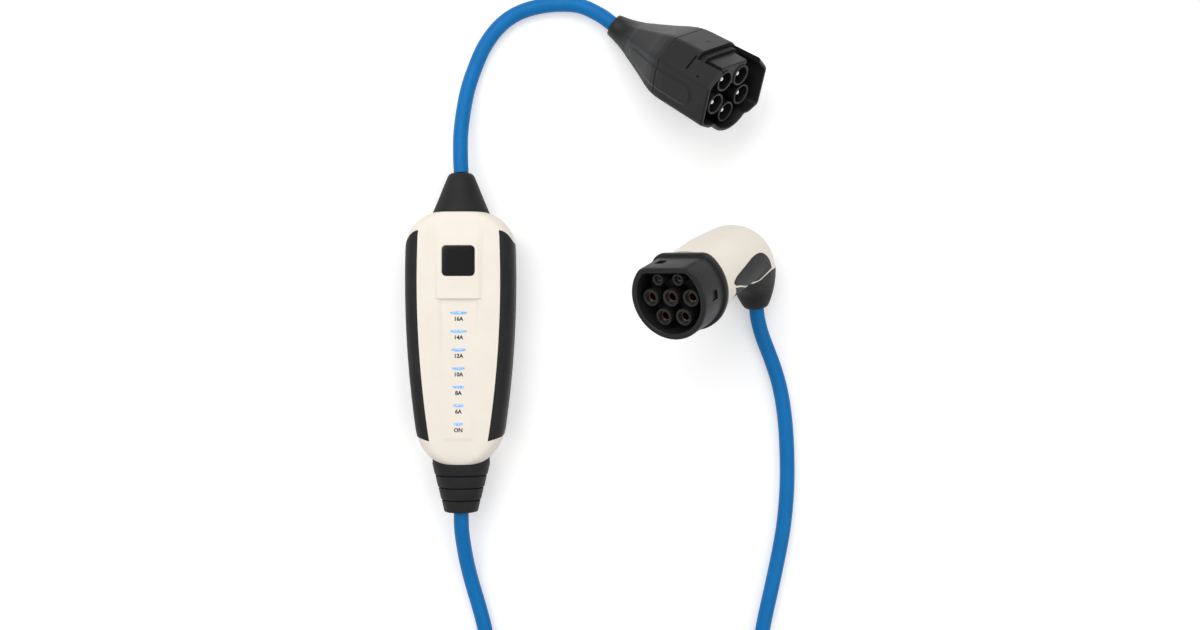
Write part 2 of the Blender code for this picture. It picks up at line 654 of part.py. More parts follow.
def make_sensor():
    """The ring core that senses leakage, standing on the board with its bore along the leads."""
    y = BOARD_BOTTOM + SENSOR_SETBACK
    centre = (0, BOARD_Z + BOARD_THICK + GAP + SENSOR_RADIUS)
    half = SENSOR_WIDTH / 2
    ring = turned("current_sensor", [(SENSOR_RADIUS, y - half), (SENSOR_RADIUS, y + half)], 20, centre, "y")
    bore = [(SENSOR_BORE, y - SENSOR_WIDTH), (SENSOR_BORE, y + SENSOR_WIDTH)]
    return cut(ring, turned("bore", bore, 16, centre, "y"))


def make_clamp(name, direction):
    """A saddle block on the rear cover that grips the lead behind its gland."""
    end = BODY_TOP if direction > 0 else BODY_BOTTOM
    y = end - direction * (CAVITY_INSET + FLANGE_THICK + CLAMP_SETBACK + CLAMP_SIZE[1] / 2)
    low = (-CLAMP_SIZE[0] / 2, y - CLAMP_SIZE[1] / 2, CAVITY_INSET + GAP)
    high = (CLAMP_SIZE[0] / 2, y + CLAMP_SIZE[1] / 2, SPLIT_Z)
    clamp = box(name, low, high)
    saddle = [(CORD_DIAMETER / 2 + GAP, y - CLAMP_SIZE[1]), (CORD_DIAMETER / 2 + GAP, y + CLAMP_SIZE[1])]
    return cut(clamp, turned("saddle", saddle, 16, (0, SPLIT_Z), "y"))


def make_cover_screw(name, place):
    """A pan-head screw from the back, its head below the surface."""
    top = SCREW_SEAT + SCREW_HEAD_THICK - GAP
    tip = SCREW_SEAT + SCREW_LENGTH
    profile = [(SCREW_HEAD_RADIUS * 0.8, SCREW_SEAT), (SCREW_HEAD_RADIUS, SCREW_SEAT + 0.7 * MM),
               (SCREW_HEAD_RADIUS, top), (SCREW_RADIUS, top), (SCREW_RADIUS, tip - 1 * MM),
               (SCREW_RADIUS * 0.5, tip)]
    return turned(name, profile, 12, place)


def make_box(materials):
    """The control box and everything in it."""
    finish_piece(make_rear_cover(), materials["shell"])
    finish_piece(make_front_cover(), materials["shell"])
    for name, side in (("left", -1), ("right", 1)):
        finish_piece(make_grip(f"{name}_grip", side), materials["rubber"])
        finish_piece(make_side_seal(f"{name}_seal", side), materials["seal"])
    finish_piece(make_badge(), materials["badge"])
    finish_piece(make_light_guide(), materials["lamp"])
    finish_piece(make_gland("supply_gland", 1, SUPPLY_TIP_RADIUS, False), materials["rubber"])
    finish_piece(make_gland("vehicle_gland", -1, VEHICLE_TIP_RADIUS, True), materials["rubber"])
    finish_piece(make_clamp("supply_clamp", 1), materials["plastic"])
    finish_piece(make_clamp("vehicle_clamp", -1), materials["plastic"])
    finish_piece(make_board(), materials["board"])
    relay_y = BOARD_TOP - RELAY_SETBACK
    finish_piece(make_block("relay_1", (-RELAY_X, relay_y), RELAY_SIZE), materials["relay"])
    finish_piece(make_block("relay_2", (RELAY_X, relay_y), RELAY_SIZE), materials["relay"])
    supply_place = (0, BOARD_TOP - SUPPLY_SETBACK)
    finish_piece(make_block("power_supply", supply_place, SUPPLY_SIZE), materials["ferrite"])
    supply_y = BOARD_TOP - TERMINAL_SETBACKS[0]
    vehicle_y = BOARD_BOTTOM + TERMINAL_SETBACKS[1]
    finish_piece(make_terminal("supply_terminal", supply_y), materials["terminal"])
    finish_piece(make_terminal("vehicle_terminal", vehicle_y), materials["terminal"])
    finish_piece(make_sensor(), materials["ferrite"])
    for index, place in enumerate(boss_places()):
        finish_piece(make_cover_screw(f"cover_screw_{index + 1}", place), materials["steel"])


# Supply plug, along local +Z from its tail to its mouth

def plug_scale(distance):
    """The shroud widens evenly from the seam to the mouth."""
    share = (distance - PLUG_SEAM) / (PLUG_LENGTH - PLUG_SEAM)
    return PLUG_TAPER + (1 - PLUG_TAPER) * share


def plug_outline(growth=0.0):
    """The shroud's section: flat top, slanted shoulders, upright sides and a round keel between two edges."""
    side = PLUG_SIDE + growth
    corner = growth * 0.4
    right = [(PLUG_TOP_HALF + corner, PLUG_TOP + growth), (side, PLUG_SIDE_TOP + corner),
             (side, PLUG_SIDE_BOTTOM - corner), (PLUG_LOWER_EDGE[0] + corner, PLUG_LOWER_EDGE[1] - growth)]
    keel = PLUG_KEEL_RADIUS + growth
    arc = [(keel * math.cos(math.radians(t)), keel * math.sin(math.radians(t)) - PLUG_KEEL_DROP)
           for t in range(-38, -143, -13)]
    left = [(-x, y) for x, y in reversed(right)]
    return right + arc + left


def plug_body(name, growth, low, high):
    """A tapered length of the shroud's form."""
    rings = []
    for distance in (low, high):
        scale = plug_scale(distance)
        rings.append([(x * scale, y * scale, distance) for x, y in plug_outline(growth)])
    return loft(name, rings)


def section_up():
    """The direction in the plug's own section that points most steeply up when it lies on the floor."""
    matrix = frame_of(PLUG_AXIS, PLUG_FLAT)
    up = Vector((matrix[2][0], matrix[2][1]))
    return up.normalized()


def tail_section(distance):
    """One section of the tapered tail: it grows from a circle to the shroud's outline, and bends level."""
    share = distance / PLUG_SEAM
    blend = share**TAIL_SWELL
    outline = [(x * PLUG_TAPER, y * PLUG_TAPER) for x, y in plug_outline(-GAP)]
    ring = []
    for x, y in outline:
        length = math.hypot(x, y)
        round_x, round_y = x / length * PLUG_TAIL_RADIUS, y / length * PLUG_TAIL_RADIUS
        ring.append((round_x + (x - round_x) * blend, round_y + (y - round_y) * blend))
    lean = math.asin(PLUG_AXIS[2])
    left = max(0.0, PLUG_TAIL_BEND - distance)
    shift = section_up() * (lean * left**2 / (2 * PLUG_TAIL_BEND))
    tilt = math.sin(lean * left / PLUG_TAIL_BEND)
    up = section_up()
    return [(x + shift[0], y + shift[1], distance + tilt * (x * up[0] + y * up[1])) for x, y in ring]


def make_plug_boot():
    """The moulded tail, from the cord's exit to the seam."""
    rings = [tail_section(PLUG_SEAM * share) for share in TAIL_SHARES]
    first = [Vector(point) for point in rings[0]]
    middle = sum(first, Vector()) / len(first)
    rings[0] = [middle + (point - middle) * TAIL_END for point in first]
    rings.append([(x * PLUG_TAPER, y * PLUG_TAPER, PLUG_SEAM - GAP) for x, y in plug_outline(-GAP)])
    return loft("plug_boot", rings)


def make_plug_shell():
    """The hollow shroud, with a notch in its top rim that bares the contact block."""
    shell = plug_body("plug_shell", 0.0, PLUG_SEAM, PLUG_LENGTH)
    height, length, rise = PLUG_PAD
    middle = PLUG_SEAM + PLUG_PAD_SETBACK + length / 2
    pill = rounded(height / 2, length / 2, height / 2 - 0.1 * MM, 5, (0, middle))
    for side in (-1, 1):
        span = sorted((side * PLUG_TOP_HALF, side * (PLUG_SIDE + 10 * MM)))
        pad = plug_body("side_pad", rise, PLUG_SEAM + 1 * MM, PLUG_LENGTH - 1 * MM)
        join(shell, keep(pad, prism("pill", pill, span[0], span[1], "x")))
    cut(shell, plug_body("mouth", -PLUG_WALL, PLUG_BULKHEAD, PLUG_LENGTH + 10 * MM))
    low = (-PLUG_NOTCH_HALF, PLUG_SIDE_TOP + 3 * MM, PLUG_LENGTH - PLUG_NOTCH_DEPTH)
    high = (PLUG_NOTCH_HALF, PLUG_TOP + 10 * MM, PLUG_LENGTH + 10 * MM)
    cut(shell, box("notch", low, high))
    return cut(shell, slit_cutter())


def slit_cutter():
    """The narrow latch slit in the left shoulder, square to the slanted facet."""
    length, width, depth = PLUG_SLIT
    outer = Vector((-PLUG_SIDE, PLUG_SIDE_TOP, 0))
    inner = Vector((-PLUG_TOP_HALF, PLUG_TOP, 0))
    along = (inner - outer).normalized()
    out = Vector((-along[1], along[0], 0))
    tool = box("slit", (-length / 2, -depth, -width / 2), (length / 2, 5 * MM, width / 2))
    station = PLUG_LENGTH - SLIT_SETBACK
    middle = (outer + inner) / 2 * plug_scale(station) + Vector((0, 0, station))
    basis = Matrix((along, out, along.cross(out))).transposed().to_4x4()
    tool.matrix_world = Matrix.Translation(middle) @ basis
    return tool


def well_places():
    """Five places on a ring, one of them at the keel."""
    turn = [math.radians(270 + 360 * i / PIN_COUNT) for i in range(PIN_COUNT)]
    return [(WELL_RING * math.cos(t), WELL_RING * math.sin(t)) for t in turn]


def make_plug_core():
    """The contact block: a base that fills the shroud, five round wells and the flat block above them."""
    core = plug_body("plug_core", -PLUG_WALL - 1.2 * GAP, PLUG_BULKHEAD + GAP, CORE_BASE_TOP)
    low = (-CORE_BLOCK_HALF, 8 * MM, CORE_BASE_TOP - 1 * MM)
    join(core, box("top_block", low, (CORE_BLOCK_HALF, CORE_BLOCK_TOP, CORE_FACE - 1 * MM)))
    for place in well_places():
        profile = [(WELL_OUTER, CORE_BASE_TOP - 2 * MM), (WELL_OUTER, CORE_FACE)]
        join(core, turned("well", profile, 20, place))
    for place in well_places():
        profile = [(WELL_BORE, WELL_FLOOR), (WELL_BORE, CORE_FACE + 2 * MM)]
        cut(core, turned("bore", profile, 16, place))
    return core


def make_plug_pin(name, place):
    """A round pin with a domed tip, standing on the floor of its well."""
    low = WELL_FLOOR + GAP
    profile = [(PIN_RADIUS, low), (PIN_RADIUS, PIN_TIP - 2 * MM), (PIN_RADIUS * 0.85, PIN_TIP - 0.8 * MM),
               (PIN_RADIUS * 0.45, PIN_TIP)]
    return turned(name, profile, 12, place)


def make_plug(materials):
    pieces = [finish_piece(make_plug_boot(), materials["plastic"]),
              finish_piece(make_plug_shell(), materials["plastic"]),
              finish_piece(make_plug_core(), materials["plastic"])]
    for index, place in enumerate(well_places()):
        pieces.append(finish_piece(make_plug_pin(f"plug_pin_{index + 1}", place), materials["pin"]))
    mouth = Vector((*PLUG_MOUTH, 0)) - Vector(PLUG_AXIS).normalized() * PLUG_LENGTH
    lay_down("plug_frame", pieces, frame_of(PLUG_AXIS, PLUG_FLAT), mouth[:2])


# Vehicle connector, along local +Z from its handle to its face

def d_outline(radius, flat):
    """A circle whose top is cut off flat, with arcs where the flat meets the circle."""
    corner = COLLAR_CORNER - (COLLAR_RADIUS - radius)
    up = flat - corner
    across = math.sqrt((radius - corner) ** 2 - up**2)
    meet = math.atan2(up, across)
    around = np.linspace(math.pi - meet, 2 * math.pi + meet, 32)
    right = np.linspace(meet, math.pi / 2, 5)[1:]
    left = np.linspace(math.pi / 2, math.pi - meet, 5)[:-1]
    outline = [(radius * math.cos(t), radius * math.sin(t)) for t in around]
    outline += [(across + corner * math.cos(t), up + corner * math.sin(t)) for t in right]
    outline += [(-across + corner * math.cos(t), up + corner * math.sin(t)) for t in left]
    return outline


def make_collar():
    """The black collar and its rim, with shallow latch pockets in the outer wall."""
    rings = [[(x, y, -RIM_THICK) for x, y in d_outline(RIM_RADIUS, RIM_FLAT)],
             [(x, y, -1 * MM) for x, y in d_outline(RIM_RADIUS, RIM_FLAT)],
             [(x, y, 0.0) for x, y in d_outline(RIM_RADIUS - 1 * MM, RIM_FLAT - 1 * MM)],
             [(x, y, 0.1 * MM) for x, y in d_outline(COLLAR_RADIUS + 0.4 * MM, COLLAR_FLAT + 0.4 * MM)],
             [(x, y, COLLAR_LENGTH - 1 * MM) for x, y in d_outline(COLLAR_RADIUS, COLLAR_FLAT)],
             [(x, y, COLLAR_LENGTH) for x, y in d_outline(COLLAR_RADIUS - 1 * MM, COLLAR_FLAT - 1 * MM)]]
    collar = loft("collar", rings)
    inner = d_outline(COLLAR_RADIUS - COLLAR_WALL, COLLAR_FLAT - COLLAR_WALL)
    cut(collar, prism("cavity", inner, -RIM_THICK - 2 * MM, COLLAR_LENGTH + 2 * MM))
    for angle in LATCH_ANGLES:
        cut(collar, latch_cutter(angle))
    return collar


def latch_cutter(angle):
    """A square pocket in the collar's outer wall, facing outwards at an angle."""
    width, length, depth = LATCH_SIZE
    direction = Vector((math.cos(math.radians(angle)), math.sin(math.radians(angle)), 0))
    reach = min(COLLAR_RADIUS, COLLAR_FLAT / max(direction[1], 1e-6)) if direction[1] > 0 else COLLAR_RADIUS
    tool = box("latch", (-depth, -width / 2, -length / 2), (6 * MM, width / 2, length / 2))
    square = Vector((0, 1, 0)) if direction[1] > 0.5 else direction
    basis = Matrix((square, Vector((0, 0, 1)).cross(square), Vector((0, 0, 1)))).transposed().to_4x4()
    tool.matrix_world = Matrix.Translation(direction * reach + Vector((0, 0, LATCH_Z))) @ basis
    return tool


def power_places():
    """The earth contact in the middle and four more on the same triangular grid."""
    rise = SLEEVE_PITCH * math.sqrt(3) / 2
    row = [(0, 0), (-SLEEVE_PITCH, 0), (SLEEVE_PITCH, 0)]
    return row + [(-SLEEVE_PITCH / 2, -rise), (SLEEVE_PITCH / 2, -rise)]


def signal_places():
    return [(-SIGNAL_X, SIGNAL_Y), (SIGNAL_X, SIGNAL_Y)]


def make_carrier():
    """The D-shaped plate that carries the contacts, with a blind bore for each."""
    inner = d_outline(COLLAR_RADIUS - COLLAR_WALL - GAP, COLLAR_FLAT - COLLAR_WALL - GAP)
    carrier = prism("contact_carrier", inner, -RIM_THICK, CARRIER_TOP)
    for places, bore, steps in ((power_places(), SLEEVE_BORE, 18), (signal_places(), SIGNAL_BORE, 14)):
        for place in places:
            profile = [(bore, BORE_FLOOR - RIM_THICK), (bore, CARRIER_TOP + 2 * MM)]
            cut(carrier, turned("bore", profile, steps, place))
    return carrier


def make_sleeve(name, place, outer, bore):
    """One insulating sleeve: a round tube that stands on the carrier."""
    low = CARRIER_TOP + GAP
    edge = 0.6 * MM
    profile = [(outer, low), (outer, SLEEVE_TOP - edge), (outer - edge, SLEEVE_TOP)]
    sleeve = turned(name, profile, 18, place)
    return cut(sleeve, turned("bore", [(bore, low - 2 * MM), (bore, SLEEVE_TOP + 2 * MM)], 18, place))


def make_contact(name, place, bore):
    """A socket contact: a tube with a closed root, in the bore of its sleeve."""
    outer = bore - GAP
    low = BORE_FLOOR - RIM_THICK + GAP
    profile = [(outer, low), (outer, CONTACT_TOP)]
    contact = turned(name, profile, 14, place)
    hollow = [(outer - CONTACT_WALL, low + 4 * MM), (outer - CONTACT_WALL, CONTACT_TOP + 2 * MM)]
    return cut(contact, turned("hollow", hollow, 12, place))


def handle_lengths():
    """The handle's middle line is a straight run, an arc and a second straight run down to the exit."""
    first = HANDLE_BACK - ELBOW_RADIUS - RIM_THICK
    second = ELBOW_RADIUS * ELBOW_TURN
    third = (HANDLE_DROP - ELBOW_RADIUS * (1 - math.cos(ELBOW_TURN))) / math.sin(ELBOW_TURN)
    return first, second, third


def handle_path(share):
    """The (Y, Z) point at a share of the handle's middle line, in its mirror plane."""
    first, second, third = handle_lengths()
    along = float(share) * (first + second + third)
    if along < first:
        return Vector((0, -RIM_THICK - along))
    turn = min(along - first, second) / ELBOW_RADIUS
    start = ELBOW_RADIUS - HANDLE_BACK
    bend = Vector((-ELBOW_RADIUS * (1 - math.cos(turn)), start - ELBOW_RADIUS * math.sin(turn)))
    beyond = max(0.0, along - first - second)
    return bend + beyond * Vector((-math.sin(turn), -math.cos(turn)))


def handle_heading(share):
    """The direction of the middle line there."""
    first, second, third = handle_lengths()
    along = float(share) * (first + second + third)
    turn = max(0.0, min(along - first, second)) / ELBOW_RADIUS
    return Vector((-math.sin(turn), -math.cos(turn)))


def handle_radius(share):
    """Half the handle's thickness along its path: full behind the rim, then a knuckle, then a taper."""
    knots = (0.0, 0.25, 0.55, BOOT_SHARE, 1.0)
    values = (HANDLE_RADIUS, HANDLE_RADIUS * 0.97, KNUCKLE_RADIUS, BOOT_RADIUS, EXIT_RADIUS)
    return float(np.interp(share, knots, values))


def handle_section(share, inset=0.0):
    """A round section of the handle, square to its path."""
    middle = handle_path(share)
    ahead = handle_heading(share)
    side = Vector((-ahead[1], ahead[0]))
    radius = handle_radius(share) - inset
    ring = []
    for x, y in circle(radius, 28, (0, 0), math.pi / 2):
        ring.append((x, middle[0] + side[0] * y, middle[1] + side[1] * y))
    return ring


def handle_form(name, start, stop, steps, inset=0.0):
    return loft(name, [handle_section(share, inset) for share in np.linspace(start, stop, steps)])


def make_handle():
    """The cream handle: a bent shell, open at the rim, with a seat for each dark inlay."""
    handle = handle_form("handle", 0.0, BOOT_SHARE, 14)
    for side in (-1, 1):
        seat = inlay_block(side, GAP)
        cut(seat, handle_form("core", 0.0, 1.0, 18, INLAY_DEPTH + GAP))
        cut(handle, seat)
    return cut(handle, handle_form("hollow", -0.03, BOOT_SHARE - 0.1, 10, HANDLE_WALL))


def inlay_outline(growth):
    """A petal on the side of the handle: its round tip points to the rim, its broad end meets the boot."""
    along = np.linspace(INLAY_SHARE, BOOT_SHARE - 0.02, len(INLAY_SPREAD))
    upper, lower = [], []
    for share, wide in zip(along, INLAY_SPREAD):
        middle = handle_path(share)
        ahead = handle_heading(share)
        side = Vector((-ahead[1], ahead[0]))
        radius = handle_radius(share)
        upper.append(middle + side * (radius * wide * INLAY_UPPER + growth))
        lower.append(middle - side * (radius * wide + growth))
    return [tuple(p) for p in upper] + [tuple(p) for p in reversed(lower)]


def inlay_block(side, growth=0.0):
    span = sorted((side * 6 * MM, side * 60 * MM))
    return prism("inlay_block", inlay_outline(growth), span[0], span[1], "x")


def make_inlay(name, side):
    inlay = handle_form(name, 0.0, 1.0, 18)
    keep(inlay, inlay_block(side))
    return cut(inlay, handle_form("core", 0.0, 1.0, 18, INLAY_DEPTH))


def make_connector_boot():
    """The black strain relief that ends the handle."""
    gap_share = GAP / (HANDLE_DROP + HANDLE_BACK) * 2
    return handle_form("connector_boot", BOOT_SHARE + gap_share, 1.0, 7)


def make_connector(materials):
    pieces = [finish_piece(make_collar(), materials["plastic"]),
              finish_piece(make_carrier(), materials["plastic"]),
              finish_piece(shift_back(make_handle()), materials["shell"]),
              finish_piece(shift_back(make_inlay("left_inlay", -1)), materials["rubber"]),
              finish_piece(shift_back(make_inlay("right_inlay", 1)), materials["rubber"]),
              finish_piece(shift_back(make_connector_boot()), materials["rubber"])]
    sleeves = [(place, SLEEVE_OUTER, SLEEVE_BORE) for place in power_places()]
    sleeves += [(place, SIGNAL_OUTER, SIGNAL_BORE) for place in signal_places()]
    for index, (place, outer, bore) in enumerate(sleeves):
        sleeve = make_sleeve(f"sleeve_{index + 1}", place, outer, bore)
        pieces.append(finish_piece(sleeve, materials["plastic"]))
    names = ("earth_contact", "power_contact_1", "power_contact_2", "power_contact_3", "power_contact_4")
    for name, place in zip(names, power_places()):
        pieces.append(finish_piece(make_contact(name, place, SLEEVE_BORE), materials["copper"]))
    for index, place in enumerate(signal_places()):
        contact = make_contact(f"signal_contact_{index + 1}", place, SIGNAL_BORE)
        pieces.append(finish_piece(contact, materials["copper"]))
    lay_down("connector_frame", pieces, frame_of(CONNECTOR_AXIS, CONNECTOR_FLAT), CONNECTOR_RIM)


def shift_back(piece):
    """Moves a piece of the handle back by the gap that keeps it off the rim."""
    piece.data.transform(Matrix.Translation((0, 0, -GAP)))
    return piece


# Placing

def frame_of(axis, flat):
    """The turn that takes local +Z to the axis and local +Y as near as possible to the flat's direction."""
    z = Vector(axis).normalized()
    y = Vector(flat)
    y = (y - z * y.dot(z)).normalized()
    return Matrix((y.cross(z), y, z)).transposed()


def lay_down(name, pieces, turn, place):
    """Parents the pieces to an empty that turns them and rests the lowest of them on the floor."""
    lowest = min((turn @ vertex.co)[2] for piece in pieces for vertex in piece.data.vertices)
    empty = bpy.data.objects.new(name, None)
    bpy.context.scene.collection.objects.link(empty)
    empty.matrix_world = Matrix.Translation((place[0], place[1], -lowest)) @ turn.to_4x4()
    for piece in pieces:
        piece.parent = empty


# Leads

def smooth_route(points, count):
    """Points along a smooth curve through the route's own points, evenly spaced."""
    knots = np.array(points) * MM
    padded = np.vstack([2 * knots[0] - knots[1], knots, 2 * knots[-1] - knots[-2]])
    fine = []
    for i in range(len(knots) - 1):
        p0, p1, p2, p3 = padded[i:i + 4]
        t = np.linspace(0, 1, 20, endpoint=False)[:, None]
        fine.append(0.5 * (2 * p1 + (p2 - p0) * t + (2 * p0 - 5 * p1 + 4 * p2 - p3) * t**2
                           + (3 * p1 - p0 - 3 * p2 + p3) * t**3))
    fine = np.vstack(fine + [knots[-1:]])
    reach = np.concatenate([[0], np.cumsum(np.linalg.norm(np.diff(fine, axis=0), axis=1))])
    even = np.linspace(0, reach[-1], count)
    return np.stack([np.interp(even, reach, fine[:, k]) for k in range(3)], axis=1)


def make_lead(name, route, count, material):
    """One stretch of lead: a round tube along its route, its ends closed."""
    curve = bpy.data.curves.new(name, "CURVE")
    curve.dimensions = "3D"
    curve.bevel_depth = CORD_DIAMETER / 2
    curve.bevel_resolution = CORD_SIDES
    curve.use_fill_caps = True
    spline = curve.splines.new("POLY")
    points = smooth_route(route, count)
    spline.points.add(len(points) - 1)
    for point, place in zip(spline.points, points):
        point.co = (*place, 1.0)
    lead = bpy.data.objects.new(name, curve)
    curve.materials.append(material)
    bpy.context.scene.collection.objects.link(lead)
    return lead


def make_coil(material):
    """The outer form of the coil that holds the rest of the vehicle lead."""
    low = GAP
    centre = (COIL_MIDDLE_RADIUS, low + COIL_HEIGHT / 2)
    section = rounded(COIL_HALF_WIDTH, COIL_HEIGHT / 2, COIL_CORNER, 3, centre)
    bm = bmesh.new()
    turn = np.arange(40) * 2 * np.pi / 40
    rows = [[bm.verts.new((COIL_CENTRE[0] + r * math.cos(t), COIL_CENTRE[1] + r * math.sin(t), z))
             for r, z in section] for t in turn]
    for i, row in enumerate(rows):
        after = rows[(i + 1) % len(rows)]
        for j in range(len(row)):
            k = (j + 1) % len(row)
            bm.faces.new((row[j], row[k], after[k], after[j]))
    return finish_piece(finish("vehicle_coil", bm), material)


def main():
    clear_scene()
    materials = make_materials()
    make_box(materials)
    make_plug(materials)
    make_connector(materials)
    make_lead("supply_lead", SUPPLY_ROUTE, SHORT_LEAD_POINTS, materials["cord"])
    make_lead("vehicle_lead_near", NEAR_ROUTE, SHORT_LEAD_POINTS, materials["cord"])
    make_lead("vehicle_lead_far", FAR_ROUTE, LONG_LEAD_POINTS, materials["cord"])
    make_coil(materials["cord"])


main()
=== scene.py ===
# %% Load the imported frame
import math

import bmesh
import bpy
import numpy as np
from mathutils import Matrix, Vector


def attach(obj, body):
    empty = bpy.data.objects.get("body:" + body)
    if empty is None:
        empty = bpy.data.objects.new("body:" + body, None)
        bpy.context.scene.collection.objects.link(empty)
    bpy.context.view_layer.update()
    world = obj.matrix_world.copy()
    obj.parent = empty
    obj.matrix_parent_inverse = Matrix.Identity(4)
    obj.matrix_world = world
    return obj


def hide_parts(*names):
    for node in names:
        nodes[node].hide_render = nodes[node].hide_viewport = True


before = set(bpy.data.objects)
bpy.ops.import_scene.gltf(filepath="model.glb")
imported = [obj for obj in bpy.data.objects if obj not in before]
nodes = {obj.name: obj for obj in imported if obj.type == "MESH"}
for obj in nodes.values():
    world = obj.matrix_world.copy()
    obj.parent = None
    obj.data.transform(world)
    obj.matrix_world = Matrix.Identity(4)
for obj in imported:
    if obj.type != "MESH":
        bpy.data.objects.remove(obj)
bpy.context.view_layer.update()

MM = 0.001
print("CAD nodes:", len(nodes))

# %% [markdown]
# The charger lies on a pale floor and the camera looks straight down at it. The picture's
# middle, its width at the height of the control box and the camera's height are all that is
# needed: the lens follows from the ratio of the two.

# %% Camera
IMAGE_MIDDLE = (112.6 * MM, 22.3 * MM)
CAMERA_HEIGHT = 1150 * MM
VIEW_WIDTH = 972 * MM  # across the image, at the height of the box's middle
BOX_MIDDLE_HEIGHT = 25 * MM
SENSOR_WIDTH = 36.0


def linked(name, data):
    """A new object with this data, put into the scene."""
    piece = bpy.data.objects.new(name, data)
    bpy.context.scene.collection.objects.link(piece)
    return piece


camera_data = bpy.data.cameras.new("camera")
camera_data.sensor_width = SENSOR_WIDTH
camera_data.lens = SENSOR_WIDTH * (CAMERA_HEIGHT - BOX_MIDDLE_HEIGHT) / VIEW_WIDTH
camera_data.clip_end = 10
camera = linked("camera", camera_data)
camera.location = (*IMAGE_MIDDLE, CAMERA_HEIGHT)
bpy.context.scene.camera = camera
bpy.context.scene.view_settings.view_transform = "Standard"
print("lens", round(camera_data.lens, 2), "mm")

# %% [markdown]
# Every new piece is a surface: a grid of points, rows by columns, worked out with whole
# numpy arrays. Three ways of closing a grid cover all the pieces here. A tube wraps its
# columns and fills its two end rings. A ring wraps its columns and its rows, so it has a
# hole through it. A slab joins an outer and an inner grid round their border, like a thin
# pad. Turned pieces are tubes and rings whose rows are circles.

# %% From grids to meshes
def mesh_object(name, points, faces):
    """An object from an array of points and a list of faces, its normals turned outwards."""
    mesh = bpy.data.meshes.new(name)
    mesh.from_pydata(np.asarray(points, float).reshape(-1, 3).tolist(), [], faces)
    bm = bmesh.new()
    bm.from_mesh(mesh)
    bmesh.ops.remove_doubles(bm, verts=bm.verts, dist=1e-6)
    bmesh.ops.recalc_face_normals(bm, faces=bm.faces)
    bm.to_mesh(mesh)
    bm.free()
    return linked(name, mesh)


def grid_quads(index):
    """Quad (i, j) joins the points (i, j), (i, j + 1), (i + 1, j + 1) and (i + 1, j)."""
    corners = (index[:-1, :-1], index[:-1, 1:], index[1:, 1:], index[1:, :-1])
    return np.stack(corners, axis=-1).reshape(-1, 4).tolist()


def tube(name, points):
    """A closed body: each row of points is a ring, and the first and last rings are filled."""
    rows, columns, _ = points.shape
    index = np.arange(rows * columns).reshape(rows, columns)
    faces = grid_quads(np.hstack([index, index[:, :1]]))
    return mesh_object(name, points, faces + [index[0].tolist(), index[-1].tolist()])


def ring(name, points):
    """A closed body whose rings go right round: the last ring joins the first."""
    rows, columns, _ = points.shape
    index = np.arange(rows * columns).reshape(rows, columns)
    index = np.vstack([index, index[:1]])
    return mesh_object(name, points, grid_quads(np.hstack([index, index[:, :1]])))


def slab(name, outer, inner):
    """A closed body between two grids of one shape, joined round their border."""
    rows, columns, _ = outer.shape
    top = np.arange(rows * columns).reshape(rows, columns)
    low = top + rows * columns
    faces = grid_quads(top) + grid_quads(low)
    border = np.concatenate([top[0, :-1], top[:-1, -1], top[-1, :0:-1], top[:0:-1, 0]])
    following = np.roll(border, -1)
    wall = np.stack([border, following, following + rows * columns, border + rows * columns], axis=1)
    return mesh_object(name, np.concatenate([outer, inner]), faces + wall.tolist())


def ring_stack(outlines, heights):
    """Rings of points from 2-D outlines at their heights, as one array for tube()."""
    return np.stack([np.column_stack([outline, np.full(len(outline), z)])
                     for outline, z in zip(outlines, heights)])


def turned_rings(profile, steps, centre=(0.0, 0.0)):
    """Rings about local Z: each (radius, height) of the profile is carried round a circle."""
    profile = np.array(profile, float)
    turn = np.linspace(0, 2 * np.pi, steps, endpoint=False)
    x = centre[0] + profile[:, :1] * np.cos(turn)
    y = centre[1] + profile[:, :1] * np.sin(turn)
    z = np.repeat(profile[:, 1:], steps, axis=1)
    return np.stack([x, y, z], axis=-1)


def smooth_step(value, width):
    """0 below -width/2, 1 above +width/2, and the cubic 3t^2 - 2t^3 between."""
    t = np.clip(value / width + 0.5, 0, 1)
    return t * t * (3 - 2 * t)


def joined(name, pieces):
    """One object from several closed bodies."""
    bm = bmesh.new()
    for piece in pieces:
        bm.from_mesh(piece.data)
        bpy.data.objects.remove(piece)
    mesh = bpy.data.meshes.new(name)
    bm.to_mesh(mesh)
    bm.free()
    return linked(name, mesh)


def carved(piece, *tools):
    """The piece with each tool's body cut out of it, the Booleans applied."""
    for tool in tools:
        modifier = piece.modifiers.new("cut", "BOOLEAN")
        modifier.object = tool
        modifier.solver = "EXACT"
    graph = bpy.context.evaluated_depsgraph_get()
    mesh = bpy.data.meshes.new_from_object(piece.evaluated_get(graph))
    piece.modifiers.clear()
    piece.data = mesh
    for tool in tools:
        bpy.data.objects.remove(tool)
    return piece


def placed(piece, matrix):
    """The piece with its place put into its mesh."""
    piece.data.transform(matrix)
    return piece


def dress(piece, material, slot_name, *replaced, crease=32):
    """Finishes a piece: material, smooth shading that breaks at sharp edges, body and CAD nodes; slot_name is
    not used.
    """
    mesh = piece.data
    mesh.materials.clear()
    mesh.materials.append(material)
    bm = bmesh.new()
    bm.from_mesh(mesh)
    for face in bm.faces:
        face.smooth = True
    limit = math.radians(crease)
    for edge in bm.edges:
        edge.smooth = edge.calc_face_angle(0.0) < limit
    bm.to_mesh(mesh)
    bm.free()
    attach(piece, "root")
    if replaced:
        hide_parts(*replaced)
    print(piece.name, len(mesh.polygons), "faces")
    return piece

# %% [markdown]
# Moulded plastic, soft rubber, cable jacket and plated metal all share one recipe: a
# Principled shader with a fine noise in its bump and its roughness, so that highlights
# break up a little, and a slow noise that moves the colour by a few per cent. Only the
# numbers differ. The noise reads Object coordinates, which are metres here, so the grain
# keeps its real size on every piece.

